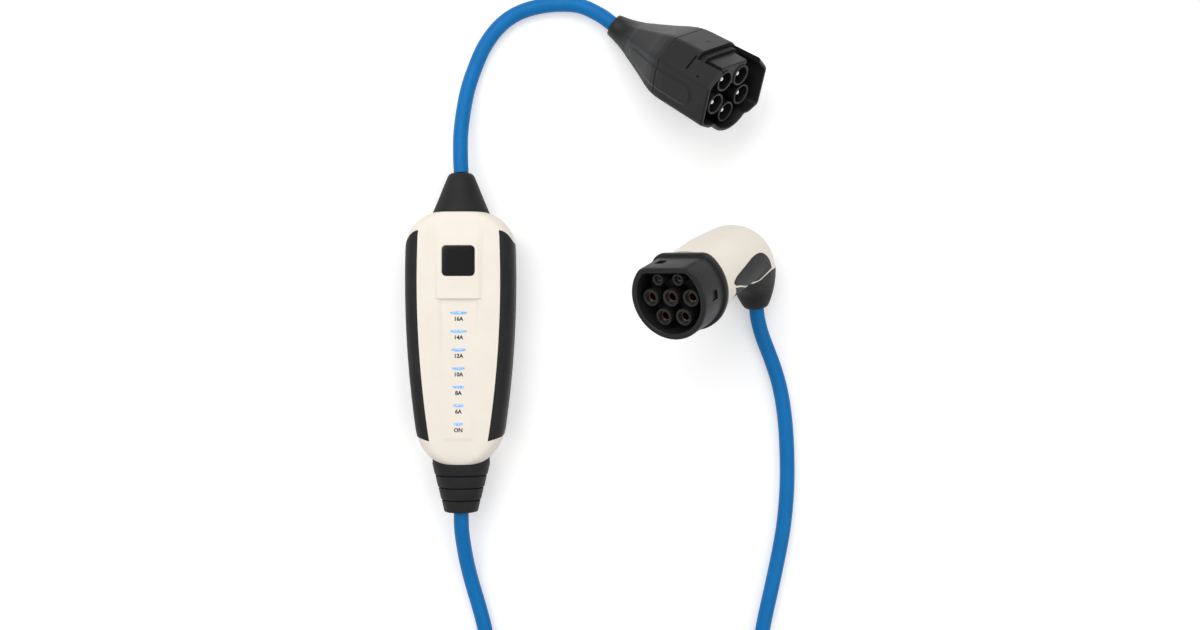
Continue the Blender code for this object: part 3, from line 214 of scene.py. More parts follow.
# %% Finishes
SLOW_NOISE = 18 * MM


def new_material(name):
    """A material, its node tree and its Principled shader."""
    material = bpy.data.materials.new(name)
    material.use_nodes = True
    return material, material.node_tree, material.node_tree.nodes["Principled BSDF"]


def feed(tree, node, values):
    """Sets a node's inputs: another node's output is linked, any other value is written on the input."""
    for name, value in values.items():
        if isinstance(value, bpy.types.NodeSocket):
            tree.links.new(value, node.inputs[name])
        else:
            node.inputs[name].default_value = value
    return node


def noise(tree, size, detail):
    """A noise over Object coordinates, with lumps of about this size."""
    place = tree.nodes.new("ShaderNodeTexCoord").outputs["Object"]
    node = tree.nodes.new("ShaderNodeTexNoise")
    return feed(tree, node, {"Vector": place, "Scale": 1 / size, "Detail": detail}).outputs["Fac"]


def two_tone(tree, factor, span, low, high):
    """One colour below the span, another above it and a straight mix between."""
    ramp = tree.nodes.new("ShaderNodeValToRGB")
    for element, position, colour in zip(ramp.color_ramp.elements, span, (low, high)):
        element.position = position
        element.color = (*colour, 1)
    return feed(tree, ramp, {"Fac": factor}).outputs["Color"]


def math_node(tree, operation, *values):
    """One step of arithmetic on shader values."""
    node = tree.nodes.new("ShaderNodeMath")
    node.operation = operation
    return feed(tree, node, dict(enumerate(values))).outputs["Value"]


def spread(tree, value, low, high, full=1.0):
    """Low where the value is 0, high where it is full."""
    node = tree.nodes.new("ShaderNodeMapRange")
    inputs = {"Value": value, "From Max": full, "To Min": low, "To Max": high}
    return feed(tree, node, inputs).outputs["Result"]


def finish(name, colour, roughness, metallic=0.0, grain=0.15 * MM, depth=0.01 * MM, drift=0.05,
           coat=0.0, rough_drift=0.06, shine=0.5):
    """A procedural finish: grain is the bump's size, depth its height, drift the colour's spread and
    shine how much a plastic reflects at all."""
    material, tree, shader = new_material(name)
    low = [c * (1 - drift) for c in colour]
    high = [min(1.0, c * (1 + drift)) for c in colour]
    slow, fine = noise(tree, SLOW_NOISE, 3.0), noise(tree, grain, 2.0)
    bump = feed(tree, tree.nodes.new("ShaderNodeBump"), {"Strength": 0.5, "Distance": depth, "Height": fine})
    feed(tree, shader, {
        "Base Color": two_tone(tree, slow, (0.3, 0.7), low, high),
        "Roughness": spread(tree, fine, roughness - rough_drift, roughness + rough_drift),
        "Normal": bump.outputs["Normal"], "Metallic": metallic, "Specular IOR Level": shine,
        "Coat Weight": coat, "Coat Roughness": 0.08})
    return material


cream = finish("cream_moulding", (0.90, 0.835, 0.735), 0.42, grain=0.3 * MM, depth=0.006 * MM,
               drift=0.015, shine=0.35)
charcoal = finish("charcoal_moulding", (0.013, 0.013, 0.0135), 0.42, grain=0.35 * MM, depth=0.02 * MM,
                  drift=0.15, shine=0.32)
soft_black = finish("soft_touch_black", (0.015, 0.015, 0.0155), 0.58, grain=0.25 * MM, depth=0.015 * MM,
                    drift=0.15, shine=0.25)
jacket = finish("blue_jacket", (0.0, 0.165, 0.465), 0.45, grain=0.5 * MM, depth=0.02 * MM,
                drift=0.06, shine=0.2)
gloss_black = finish("gloss_tile", (0.004, 0.004, 0.005), 0.12, depth=0.0005 * MM, shine=0.35)
grey_sleeve = finish("grey_sleeve", (0.012, 0.0115, 0.011), 0.40, grain=0.3 * MM, depth=0.012 * MM,
                     drift=0.1, shine=0.4)
bright_pin = finish("nickel_pin", (0.80, 0.81, 0.83), 0.16, metallic=1.0, grain=0.1 * MM,
                    depth=0.002 * MM, drift=0.03)
copper = finish("copper_alloy", (0.26, 0.075, 0.050), 0.30, metallic=1.0, grain=0.12 * MM,
                depth=0.003 * MM, drift=0.15)
zinc = finish("zinc_screw", (0.55, 0.56, 0.58), 0.34, metallic=1.0, drift=0.06)
print("finishes:", len(bpy.data.materials))

# %% [markdown]
# The leads are free cables: one 12 mm blue jacket from the supply plug into the box, and a
# 5 m one from the box to the car's connector. Their routes repeat the CAD's own points. A
# smooth curve (Catmull-Rom) through the points gives the middle line, and a circle square
# to it is carried along. What the photograph doesn't show of the long lead is wound into a
# neat coil just below the picture.

# %% Routes of the leads
CORD_RADIUS = 6.1 * MM
SUPPLY_ROUTE = (
    (0.0, 137.9, 23.0), (-0.6, 152.0, 22.6), (-0.6, 174.0, 17.0), (3.0, 203.0, 9.2), (9.2, 224.5, 6.3),
    (18.2, 244.5, 6.2), (30.6, 260.6, 6.2), (46.5, 271.4, 6.2), (69.0, 277.2, 6.9), (94.0, 276.6, 9.4),
    (112.1, 268.5, 11.4), (122.82, 260.77, 12.02),
)
NEAR_ROUTE = (
    (0.0, -138.0, 23.0), (0.2, -152.0, 22.7), (1.6, -166.3, 17.6), (4.4, -186.0, 10.0), (9.6, -206.0, 6.6),
    (15.2, -225.0, 6.2), (19.4, -243.0, 6.2), (21.8, -266.0, 6.2), (23.0, -290.0, 6.2), (24.4, -320.0, 6.2),
    (25.3, -345.0, 6.2),
)
FAR_ROUTE = (
    (230.6, -345.0, 6.2), (233.6, -320.0, 6.2), (238.4, -290.0, 6.2), (243.0, -262.0, 6.2),
    (246.2, -237.2, 6.2), (253.1, -205.9, 6.2), (260.3, -171.7, 6.2), (264.2, -149.0, 6.2),
    (266.6, -120.0, 6.2), (266.6, -92.0, 6.2), (265.0, -64.0, 6.2), (260.6, -36.0, 6.2),
    (252.9, -12.0, 6.2), (246.9, 2.4, 6.6), (242.5, 14.95, 8.5), (240.91, 27.75, 11.27),
)


def even_points(line, step):
    """Points at even distances along a line."""
    reach = np.concatenate([[0], np.cumsum(np.linalg.norm(np.diff(line, axis=0), axis=1))])
    even = np.linspace(0, reach[-1], int(reach[-1] / step) + 1)
    return np.stack([np.interp(even, reach, line[:, k]) for k in range(3)], axis=1)


def smooth_line(points, step):
    """Even points along the Catmull-Rom curve: each span is a cubic through its two ends,
    with the chord of its two neighbours as the direction at each end."""
    knots = np.array(points)
    padded = np.vstack([2 * knots[0] - knots[1], knots, 2 * knots[-1] - knots[-2]])
    p0, p1, p2, p3 = padded[:-3, None], padded[1:-2, None], padded[2:-1, None], padded[3:, None]
    t = np.linspace(0, 1, 24, endpoint=False)[None, :, None]
    fine = 0.5 * (2 * p1 + (p2 - p0) * t + (2 * p0 - 5 * p1 + 4 * p2 - p3) * t**2
                  + (3 * p1 - p0 - 3 * p2 + p3) * t**3)
    return even_points(np.vstack([fine.reshape(-1, 3), knots[-1:]]), step)


def line_length(points):
    """The sum of the steps from point to point."""
    return float(np.linalg.norm(np.diff(points, axis=0), axis=1).sum())


def swept(name, line, radius, steps):
    """A round tube: at each point the circle lies in the plane of world up and the line's side."""
    ahead = np.gradient(line, axis=0)
    ahead /= np.linalg.norm(ahead, axis=1, keepdims=True)
    side = np.cross(ahead, (0, 0, 1.0))
    side /= np.linalg.norm(side, axis=1, keepdims=True)
    up = np.cross(side, ahead)
    turn = np.linspace(0, 2 * np.pi, steps, endpoint=False)
    circles = np.cos(turn)[:, None] * side[:, None] + np.sin(turn)[:, None] * up[:, None]
    return tube(name, line[:, None] + radius * circles)

# %% [markdown]
# The coil has eight and a half turns in three layers. The lead comes in on the floor, winds
# inwards, climbs one diameter and winds outwards, climbs again for the last turns, and then
# slides down the outside of the coil to the floor. Its radius and its height are each a
# list of values against the number of turns; straight lines join them and a short moving
# average rounds their corners.

# %% The long lead's middle line
COIL_CENTRE = np.array([128.0, -352.0]) * MM
WHOLE_TURNS, TURN_POINTS = 8, 120
COIL_STEP, EASING = 3 * MM, 10
RADIUS_KNOTS = (  # turns, radius in mm
    (0.0, 102.9), (0.35, 90.5), (0.9, 90.5), (1.1, 78.0), (1.9, 78.0), (2.1, 65.5), (3.9, 65.5), (4.1, 78.0),
    (4.9, 78.0), (5.1, 90.5), (6.0, 90.5), (6.2, 78.0), (6.9, 78.0), (7.1, 90.5), (7.85, 90.5), (8.02, 102.8),
    (8.6, 102.8),
)
HEIGHT_KNOTS = (  # turns, height in mm
    (0.0, 6.2), (2.9, 6.2), (3.1, 18.6), (5.8, 18.6), (5.98, 30.8), (8.02, 30.8), (8.3, 18.8), (8.49, 6.2),
    (8.6, 6.2),
)


def eased(line, window):
    """The line after a moving average over a number of points, its two ends kept."""
    padded = np.vstack([np.repeat(line[:1], window, axis=0), line, np.repeat(line[-1:], window, axis=0)])
    total = np.cumsum(padded, axis=0)
    half = window // 2
    number = np.arange(len(line))
    average = (total[number + window + half] - total[number + window - half]) / (2 * half)
    share = np.clip(np.minimum(number, number[::-1]) / window, 0, 1)[:, None]
    return line + (average - line) * share


def coil_line(start, stop):
    """Points round the coil from one angle to the other: angle = first + 2 pi * turns."""
    first = math.atan2(start[1] - COIL_CENTRE[1], start[0] - COIL_CENTRE[0])
    last = math.atan2(stop[1] - COIL_CENTRE[1], stop[0] - COIL_CENTRE[0])
    number = WHOLE_TURNS + ((last - first) / (2 * math.pi)) % 1.0
    turns = np.linspace(0, number, int(number * TURN_POINTS))
    radius = np.interp(turns, *np.array(RADIUS_KNOTS).T) * MM
    height = np.interp(turns, *np.array(HEIGHT_KNOTS).T) * MM
    angle = first + turns * 2 * math.pi
    x = COIL_CENTRE[0] + radius * np.cos(angle)
    y = COIL_CENTRE[1] + radius * np.sin(angle)
    return np.stack([x, y, height], axis=1)


INSIDE_BOOT = ((239.3, 40.0, 14.0),)  # the lead runs on a little inside the connector's boot
supply_line, near_line, far_line = (smooth_line(np.array(route) * MM, 3 * MM)
                                    for route in (SUPPLY_ROUTE, NEAR_ROUTE, FAR_ROUTE + INSIDE_BOOT))
wound_line = coil_line(near_line[-1], far_line[0])
whole_line = even_points(np.vstack([near_line[:-1], wound_line, far_line[1:]]), COIL_STEP)
vehicle_line = even_points(eased(whole_line, EASING), 4 * MM)
print("supply lead", round(line_length(supply_line), 3), "m")
print("vehicle lead", round(line_length(vehicle_line), 3), "m")

supply_cord = dress(swept("supply_cord", supply_line, CORD_RADIUS, 32), jacket, "blue_cord", "supply_lead")
vehicle_cord = dress(swept("vehicle_cord", vehicle_line, CORD_RADIUS, 24), jacket, "blue_cord",
                     "vehicle_lead_near", "vehicle_lead_far", "vehicle_coil")

# %% [markdown]
# The control box is a flat, waisted form. Seen from the front its half width is a parabola
# about its widest place, closed at both ends by a superellipse. Each section square to its
# length is a rounded rectangle. So one function of two parameters gives the whole surface:
# y runs along the box, and q runs round a half section from the right seam (3) over the
# front (0) to the left seam (-3): flat, corner arc, flat.

# %% The box's form
BODY_LENGTH = 202 * MM
BODY_TOP = 104.8 * MM
BODY_BOTTOM = BODY_TOP - BODY_LENGTH
BODY_HALF_WIDTH = 43.8 * MM
HALF_DEPTH = 23 * MM
WIDEST_Y = 50 * MM
SIDE_CURVE = 0.6
END_REACH, END_OVERSHOOT = 30 * MM, 2.3 * MM
WIDTH_POWER, DEPTH_POWER = 2.5, 6  # how square the ends are, seen from the front and from the side
CORNER_RADIUS = 13 * MM
CORNER_COLUMNS = 1 + np.linspace(0, 1, 13)[1:-1]  # q over the corner
SIDE_COLUMNS = np.array([2.0, 2.2, 2.5, 2.8, 2.9, 2.93, 2.955, 2.965])  # q from the corner to the seam
SIDE_DIP = np.array([0, 0, 0, 0, 0, -0.06, -0.22, -0.7]) * MM  # a small rounding at the seam's lip


def side_half_width(y):
    """A parabola: half width = widest - curve * (distance from the widest place)^2."""
    return BODY_HALF_WIDTH - SIDE_CURVE * (WIDEST_Y - y) ** 2


def end_factor(y, power):
    """A superellipse towards each end: (1 - s^p)^(1/p), s going from 0 to nearly 1 over the reach."""
    from_end = np.minimum(BODY_TOP - y, y - BODY_BOTTOM)
    share = np.clip(END_REACH - from_end, 0, None) / (END_REACH + END_OVERSHOOT)
    return (1 - share**power) ** (1 / power)


def body_sizes(y):
    """Half width, half depth and corner radius of the section at y."""
    half_width = side_half_width(y) * end_factor(y, WIDTH_POWER)
    half_depth = HALF_DEPTH * end_factor(y, DEPTH_POWER)
    radius = np.minimum(CORNER_RADIUS, np.minimum(0.95 * half_width, 0.9 * half_depth))
    return half_width, half_depth, radius


def body_rows(count, end_count, more=()):
    """Places along the box: evenly spaced, closer and closer towards each end, and some more."""
    near_end = np.geomspace(0.02, 8, end_count) * MM
    even = np.linspace(BODY_BOTTOM, BODY_TOP, count)
    return np.unique(np.concatenate([even, more, BODY_TOP - near_end, BODY_BOTTOM + near_end]))


def body_point(y, q, outset=0.0, side=1):
    """A point of the half section: |q| 0 to 1 is the flat, 1 to 2 the corner arc, 2 to 3 the side.
    side is 1 for the front half and -1 for the rear; outset moves the point out of the surface."""
    half_width, half_depth, radius = body_sizes(y)
    q = np.broadcast_to(q, np.broadcast(y, q).shape)
    m = np.abs(q)
    turn = np.clip(m - 1, 0, 1) * np.pi / 2
    x = np.minimum(m, 1) * (half_width - radius) + (radius + outset) * np.sin(turn)
    z = (half_depth - radius) * (1 - np.clip(m - 2, 0, 1)) + (radius + outset) * np.cos(turn)
    return np.stack([np.sign(q) * x, np.broadcast_to(y, x.shape), HALF_DEPTH + side * z], axis=-1)


def seam_outset(columns):
    """For each column of a cover how far it stands out of the surface: only the lips at the seams do."""
    return np.concatenate([SIDE_DIP[::-1], np.zeros(columns - 2 * len(SIDE_DIP)), SIDE_DIP])

# %% [markdown]
# The front cover's face carries a raised pad round the badge and, below it, a strip with the
# lamps that starts sunk under the pad's edge and ends a little proud of the face. Both are
# heights added to the face: each is a product of smooth steps of the distance to its own
# border, sharp at the pad's lower edge and soft at the sides, as a moulded blend is. The
# grid is fine there so that the step stays crisp.

# %% Front cover
PAD_HALF_WIDTH, PAD_TOP, PAD_BOTTOM, PAD_RISE = 17.6 * MM, 96 * MM, 35.2 * MM, 1.5 * MM
PAD_FADE = 80 * MM  # above this the pad sinks into the face
PAD_SIDE, PAD_WIDENING = 3.2 * MM, 0.06  # how soft its side borders are, and how they widen upwards
STRIP_HALF_TOP, STRIP_HALF_BOTTOM, STRIP_END = 14.8 * MM, 11.6 * MM, -77.0 * MM
STRIP_DEPTH, STRIP_RISE = 1.8 * MM, 0.9 * MM  # below the face at the pad, above it at the strip's end
STRIP_SIDE, STRIP_FOOT = 4.4 * MM, 3.6 * MM  # how soft its side borders and its end are
PAD_STEP = 0.7 * MM  # how soft the pad's lower edge is
STEP_ROWS = np.linspace(34.6, 35.8, 13) * MM  # rows of the grid that draw this edge
FINE_HALF, FINE_SHARE = 22 * MM, 0.92  # the fine grid's half width, and its most as a share of the flat
FINE_COLUMNS, OUTER_COLUMNS = 121, 8  # over the fine part, and on each side of it
FRONT_ROWS, FRONT_END_ROWS = 300, 16


def strip_share(y):
    """How far down the strip a place lies, from 0 at the pad to 1 at the strip's end."""
    return np.clip((PAD_BOTTOM - y) / (PAD_BOTTOM - STRIP_END), 0, 1)


def strip_height(y):
    """The strip is a straight ramp from its depth at the pad to its rise at the end."""
    return STRIP_RISE * strip_share(y) - STRIP_DEPTH * (1 - strip_share(y))


def face_height(x, y):
    """The pad's height plus the strip's at a place of the face."""
    border = PAD_SIDE + PAD_WIDENING * np.clip(y - PAD_BOTTOM, 0, None)
    pad = (smooth_step(PAD_HALF_WIDTH - np.abs(x), border) * smooth_step(y - PAD_BOTTOM, PAD_STEP)
           * smooth_step((PAD_FADE + PAD_TOP) / 2 - y, PAD_TOP - PAD_FADE))
    half = STRIP_HALF_TOP + (STRIP_HALF_BOTTOM - STRIP_HALF_TOP) * strip_share(y)
    strip = (smooth_step(half - np.abs(x), STRIP_SIDE) * smooth_step(y - STRIP_END, STRIP_FOOT)
             * smooth_step(PAD_BOTTOM - y, PAD_STEP))
    return PAD_RISE * pad + strip_height(y) * strip


def front_cover_grid():
    """Rows along the box, columns from the left seam over the face to the right seam."""
    rows = body_rows(FRONT_ROWS, FRONT_END_ROWS, STEP_ROWS)
    half_width, _, radius = body_sizes(rows)
    flat = (half_width - radius)[:, None]
    fine = np.minimum(FINE_HALF, FINE_SHARE * flat)
    beyond = fine + (flat - fine) * np.linspace(0, 1, OUTER_COLUMNS + 1)[1:]
    face_q = np.hstack([-beyond[:, ::-1], fine * np.linspace(-1, 1, FINE_COLUMNS), beyond]) / flat
    right = np.concatenate([CORNER_COLUMNS, SIDE_COLUMNS]) * np.ones((len(rows), 1))
    q = np.hstack([-right[:, ::-1], face_q, right])
    points = body_point(rows[:, None], q, seam_outset(q.shape[1]))
    on_face = np.abs(q) <= 1
    points[..., 2] += np.where(on_face, face_height(points[..., 0], points[..., 1]), 0)
    return points


front_cover = tube("front_cover_moulding", front_cover_grid())
print("front cover", len(front_cover.data.vertices), "points")

# %% [markdown]
# The badge and the lamps sit in pockets of the front cover. A pocket is a rounded outline
# pulled straight down and cut out with a Boolean, because its walls are too steep for a
# height on the grid.

# %% Pockets, badge and lamps
BADGE_HALF, BADGE_Y = np.array([13.0, 12.1]) * MM, 65.5 * MM
BADGE_CORNER, LEAST_CORNER, POCKET_CORNER, CLEARANCE = 3.4 * MM, 0.5 * MM, 3.6 * MM, 0.25 * MM
BADGE_TOP = 2 * HALF_DEPTH + PAD_RISE + 0.25 * MM
BADGE_POCKET_DEPTH, LAMP_POCKET_DEPTH, CUT_ABOVE = 1.6 * MM, 0.8 * MM, 5 * MM
BADGE_RINGS = (  # growth of the tile's outline and height above its face, in mm
    (-0.9, -1.5), (-0.9, -0.5), (0, -0.45), (0, -0.25), (-0.1, -0.08), (-0.3, 0), (-0.6, 0.02), (-5, 0.06))
LAMP_FIRST_Y, LAMP_PITCH = 24.3 * MM, 14.75 * MM
LAMP_UPPER, LAMP_LOWER, LAMP_CLEARANCE = 0.8 * MM, 1.5 * MM, 0.15 * MM
LAMP_HALF_WIDTHS = np.array([6.8, 6.6, 5.8, 5.2, 4.8, 4.2, 3.7]) * MM
LENS_RINGS = ((0.0, -0.7), (0.0, -0.05), (-0.12, 0.05), (-0.5, 0.12))  # growth and height, in mm


def badge_outline(growth, radius, steps=8):
    """The tile's outline, grown: arcs round the corners' centres, centre + radius * (cos t, sin t)."""
    half_width, half_height = BADGE_HALF + growth
    turn = np.concatenate([np.linspace(0, np.pi / 2, steps) + k * np.pi / 2 for k in range(4)])
    x = np.repeat([1, -1, -1, 1], steps) * (half_width - radius) + radius * np.cos(turn)
    y = np.repeat([1, 1, -1, -1], steps) * (half_height - radius) + radius * np.sin(turn)
    return np.column_stack([x, BADGE_Y + y])


def lamp_outline(y, half_width, growth):
    """A lens shape: two arcs, y = h (1.02 - (x / w)^2)^0.6, the lower one deeper than the upper."""
    share = np.cos(np.linspace(0, np.pi, 21))
    arc = (1 - share**2 + 0.02) ** 0.6
    x = (half_width + growth) * share
    upper, lower = (LAMP_UPPER + growth) * arc, (LAMP_LOWER + growth) * arc
    return np.column_stack([np.concatenate([x, x[::-1]]), y + np.concatenate([upper, -lower[::-1]])])


def lamp_places():
    """Each lamp's place along the box, its half width and the strip's height there."""
    ys = LAMP_FIRST_Y - LAMP_PITCH * np.arange(len(LAMP_HALF_WIDTHS))
    return zip(ys, LAMP_HALF_WIDTHS, 2 * HALF_DEPTH + strip_height(ys))


def pocket_tool(outline, face, depth):
    """What cuts a pocket of this outline and depth into a face at this height."""
    return tube("pocket", ring_stack([outline] * 2, [face - depth, face + CUT_ABOVE]))


pockets = [pocket_tool(badge_outline(CLEARANCE, POCKET_CORNER), BADGE_TOP, BADGE_POCKET_DEPTH)]
for y, half_width, z in lamp_places():
    pockets.append(pocket_tool(lamp_outline(y, half_width, LAMP_CLEARANCE), z, LAMP_POCKET_DEPTH))
carved(front_cover, *pockets)
dress(front_cover, cream, "cream_shell", "front_cover", crease=24)

badge_growths, badge_heights = np.array(BADGE_RINGS).T * MM
badge_outlines = [badge_outline(growth, max(LEAST_CORNER, BADGE_CORNER + growth)) for growth in badge_growths]
badge = tube("badge_tile_gloss", ring_stack(badge_outlines, BADGE_TOP + badge_heights))
dress(badge, gloss_black, "badge_gloss", "badge_tile")

# %% [markdown]
# The lamps are clear windows with a pale blue light behind them. Emission gives the light
# and a glossy coat gives the window. The light comes from single bright points, so a noise
# mixes a deep and a pale blue, and it is stronger in the middle of each lamp than at its
# ends, so its strength follows the distance from the box's middle plane.

# %% Lamps
POINT_SIZE = 1.3 * MM
DEEP_BLUE, PALE_BLUE = (0.10, 0.27, 0.85), (0.55, 0.78, 1.0)
LAMP_MIDDLE_GLOW, LAMP_END_GLOW, LAMP_REACH = 0.75, 0.30, 7 * MM

lamp_glow, lamp_tree, lamp_shader = new_material("lamp_glow")
lamp_axes = feed(lamp_tree, lamp_tree.nodes.new("ShaderNodeSeparateXYZ"), {
    "Vector": lamp_tree.nodes.new("ShaderNodeTexCoord").outputs["Object"]})
from_middle = math_node(lamp_tree, "ABSOLUTE", lamp_axes.outputs["X"])
lamp_points = noise(lamp_tree, POINT_SIZE, 1.0)
feed(lamp_tree, lamp_shader, {
    "Base Color": (0.10, 0.30, 0.85, 1), "Roughness": 0.25, "Coat Weight": 0.5,
    "Emission Color": two_tone(lamp_tree, lamp_points, (0.38, 0.62), DEEP_BLUE, PALE_BLUE),
    "Emission Strength": spread(lamp_tree, from_middle, LAMP_MIDDLE_GLOW, LAMP_END_GLOW, LAMP_REACH)})

lens_growths, lens_heights = np.array(LENS_RINGS).T * MM
lenses = [tube("lens", ring_stack([lamp_outline(y, half_width, growth) for growth in lens_growths],
                                  z + lens_heights)) for y, half_width, z in lamp_places()]
dress(joined("lamp_lenses", lenses), lamp_glow, "lamp_lens", "light_guide")

# %% [markdown]
# Below each lamp the charging current is printed, and the last lamp says that the charger
# is on. The words are text objects, made meshes before they are put in place.

# %% Printed currents
LETTER_SIZE, LETTER_BOLD, LETTER_HALF_THICKNESS = 4.4 * MM, 0.15 * MM, 0.04 * MM
LABEL_DROP, LABEL_LIFT = 5.2 * MM, 0.02 * MM
LABELS = ("16A", "14A", "12A", "10A", "8A", "6A", "ON")

print_ink = finish("print_ink", (0.020, 0.017, 0.015), 0.6, drift=0.05, shine=0.1)


def printed_word(text, y):
    """Letters as thin solid plates, lying on the strip with their middle at y."""
    curve = bpy.data.curves.new("word", "FONT")
    curve.body = text
    curve.size = LETTER_SIZE
    curve.align_x = "CENTER"
    curve.align_y = "CENTER"
    curve.extrude = LETTER_HALF_THICKNESS
    curve.offset = LETTER_BOLD
    curve.resolution_u = 4
    word = linked("word", curve)
    mesh = bpy.data.meshes.new_from_object(word.evaluated_get(bpy.context.evaluated_depsgraph_get()))
    bpy.data.objects.remove(word)
    place = (0, y, 2 * HALF_DEPTH + strip_height(y) + LABEL_LIFT)
    return placed(linked("word", mesh), Matrix.Translation(place))


words = [printed_word(text, y - LABEL_DROP) for (y, _, _), text in zip(lamp_places(), LABELS)]
dress(joined("printed_currents", words), print_ink, "black_plastic")

# %% [markdown]
# The rear cover is the same form mirrored, with six round wells for the screws.

# %% Rear cover
BOSS_YS = np.array([76, 4, -66]) * MM
BOSS_INSET = 14.6 * MM
SCREW_WELL_RADIUS, SCREW_WELL_DEPTH = 3.7 * MM, 4.2 * MM
REAR_ROWS, REAR_END_ROWS, BACK_COLUMNS = 120, 14, 15  # the last on each side of the middle


def rear_cover_grid():
    """Rows along the box, columns from the left seam over the back to the right seam."""
    flat = np.linspace(0, 1, BACK_COLUMNS + 1)[1:]
    right = np.concatenate([flat, CORNER_COLUMNS, SIDE_COLUMNS])
    q = np.concatenate([-right[::-1], [0.0], right])
    return body_point(body_rows(REAR_ROWS, REAR_END_ROWS)[:, None], q, seam_outset(len(q)), side=-1)


def cylinder(radius, low, high, centre=(0.0, 0.0), steps=32):
    """A round bar about local Z from one height to another."""
    return tube("cylinder", turned_rings([(radius, low), (radius, high)], steps, centre))


rear_cover = tube("rear_cover_moulding", rear_cover_grid())
boss_xs = side_half_width(BOSS_YS) - BOSS_INSET
boss_places = [(sign * x, y) for x, y in zip(boss_xs, BOSS_YS) for sign in (-1, 1)]
carved(rear_cover, *[cylinder(SCREW_WELL_RADIUS, -CUT_ABOVE, SCREW_WELL_DEPTH, place)
                     for place in boss_places])
dress(rear_cover, cream, "cream_shell", "rear_cover", crease=24)

# %% [markdown]
# The side grips are soft black pads moulded over both edges of the box. Each follows the
# body's own surface and stands a little proud of it, and its border is rolled over. Their
# upper ends are rounded and their lower ends slanted: how far the pad reaches depends on the
# distance from its inner edge.

# %% Side grips
GRIP_BAND, GRIP_TOP, GRIP_BOTTOM = 12.4 * MM, 90.4 * MM, -79.3 * MM
GRIP_LENGTH = GRIP_TOP - GRIP_BOTTOM
GRIP_TOP_DROP, GRIP_TOP_POWER, GRIP_BOTTOM_SLOPE = 11 * MM, 2.8, 0.30
GRIP_EDGE = np.array([0.0, 0.25, 0.7, 1.3]) * MM  # distances of the rolled border's rows from the ends
GRIP_EDGE_SHARES = np.array([0, 0.012, 0.035, 0.065])  # and of its columns, as shares of the pad
GRIP_ROLL = np.array([-0.9, -0.15, 0.22, 0.35]) * MM  # and how far out each stands
PAD_BACK = -1.2 * MM  # the pad's hidden side, below the body's surface


def both_ends(values, middle):
    """Values near 0, the middle, and the same values near 1."""
    return np.unique(np.concatenate([values, middle, 1 - values]))


def grip_grids(side):
    """Rows run along the box and columns from the front edge round the side to the rear edge.
    The first guess of each row is straight; two rounds bend it to the pad's two ends."""
    share = both_ends(GRIP_EDGE_SHARES, np.linspace(0.1, 0.9, 40))
    column_roll = np.interp(np.minimum(share, 1 - share), GRIP_EDGE_SHARES, GRIP_ROLL)
    along = both_ends(GRIP_EDGE / GRIP_LENGTH, np.linspace(0.01, 0.99, 90))
    row_roll = np.interp(np.minimum(along, 1 - along) * GRIP_LENGTH, GRIP_EDGE, GRIP_ROLL)
    guess = GRIP_BOTTOM + along[:, None] * GRIP_LENGTH * np.ones((1, len(share)))
    for _ in range(2):
        half_width, _, radius = body_sizes(guess)
        inner = side_half_width(guess) - GRIP_BAND
        start = np.arcsin(np.clip((inner - (half_width - radius)) / radius, -0.2, 0.98)) / (np.pi / 2)
        reach = np.abs(share * 2 - 1)[None]
        q = 3 - reach * (2 - start)
        depth_from_edge = np.clip(body_point(guess, q)[..., 0] - inner, 0, None)
        top = GRIP_TOP - GRIP_TOP_DROP * (depth_from_edge / GRIP_BAND)**GRIP_TOP_POWER
        bottom = GRIP_BOTTOM + GRIP_BOTTOM_SLOPE * depth_from_edge
        guess = bottom + along[:, None] * (top - bottom)
    outset = np.minimum(row_roll[:, None], column_roll[None])
    front = (share < 0.5)[:, None]
    grids = []
    for lift in (outset, np.full_like(outset, PAD_BACK)):
        points = np.where(front, body_point(guess, q, lift), body_point(guess, q, lift, side=-1))
        grids.append(points * (side, 1, 1))
    return grids


for label, side in (("left", -1), ("right", 1)):
    pad = slab(f"{label}_grip_pad", *grip_grids(side))
    dress(pad, soft_black, "black_soft_grip", f"{label}_grip", crease=50)

# %% [markdown]
# A tapered rubber gland closes each end and keeps the lead from kinking. The supply gland
# is a smooth cone, and the vehicle gland has steps like fish scales that let it flex. Both
# are ellipses whose two radii shrink along the cone, so one function makes them from a list
# of stations.

# %% Glands
SUPPLY_STATIONS = [  # distance from the body's end, half width and half depth, in mm
    (-8, 22.9, 18.2), (0, 23.1, 18.4), (2, 22.3, 18.0), (10, 18.9, 16.0), (20, 14.9, 13.4),
    (27, 12.0, 11.6), (29.5, 10.9, 10.8), (31.2, 9.7, 9.7), (32.2, 8.2, 8.2), (32.5, 7.0, 7.0),
    (32.5, 6.4, 6.4), (29, 6.3, 6.3)]
VEHICLE_LENGTH, VEHICLE_RIBS = 40.1, 4
VEHICLE_BASE, VEHICLE_TIP = np.array([23.2, 18.4]), np.array([12.2, 12.2])  # half width and half depth
RIB_TAPER = 0.94  # how much of the way to the tip's size the ribs go
RIB_START = (0.5, 0.2)  # how far past the rib's start, and how far out of the cone
RIB_END = ((-1.6, 1.0), (-0.7, 0.6), (-0.3, -0.5), (0, -0.8))  # the same, past the rib's end
ROUNDED_TIP = ((-0.1, -1.6), (0, -3.5))  # and past the gland's end, out of the tip
CORD_HOLE = ((0, 6.4, 6.4), (-4, 6.3, 6.3))


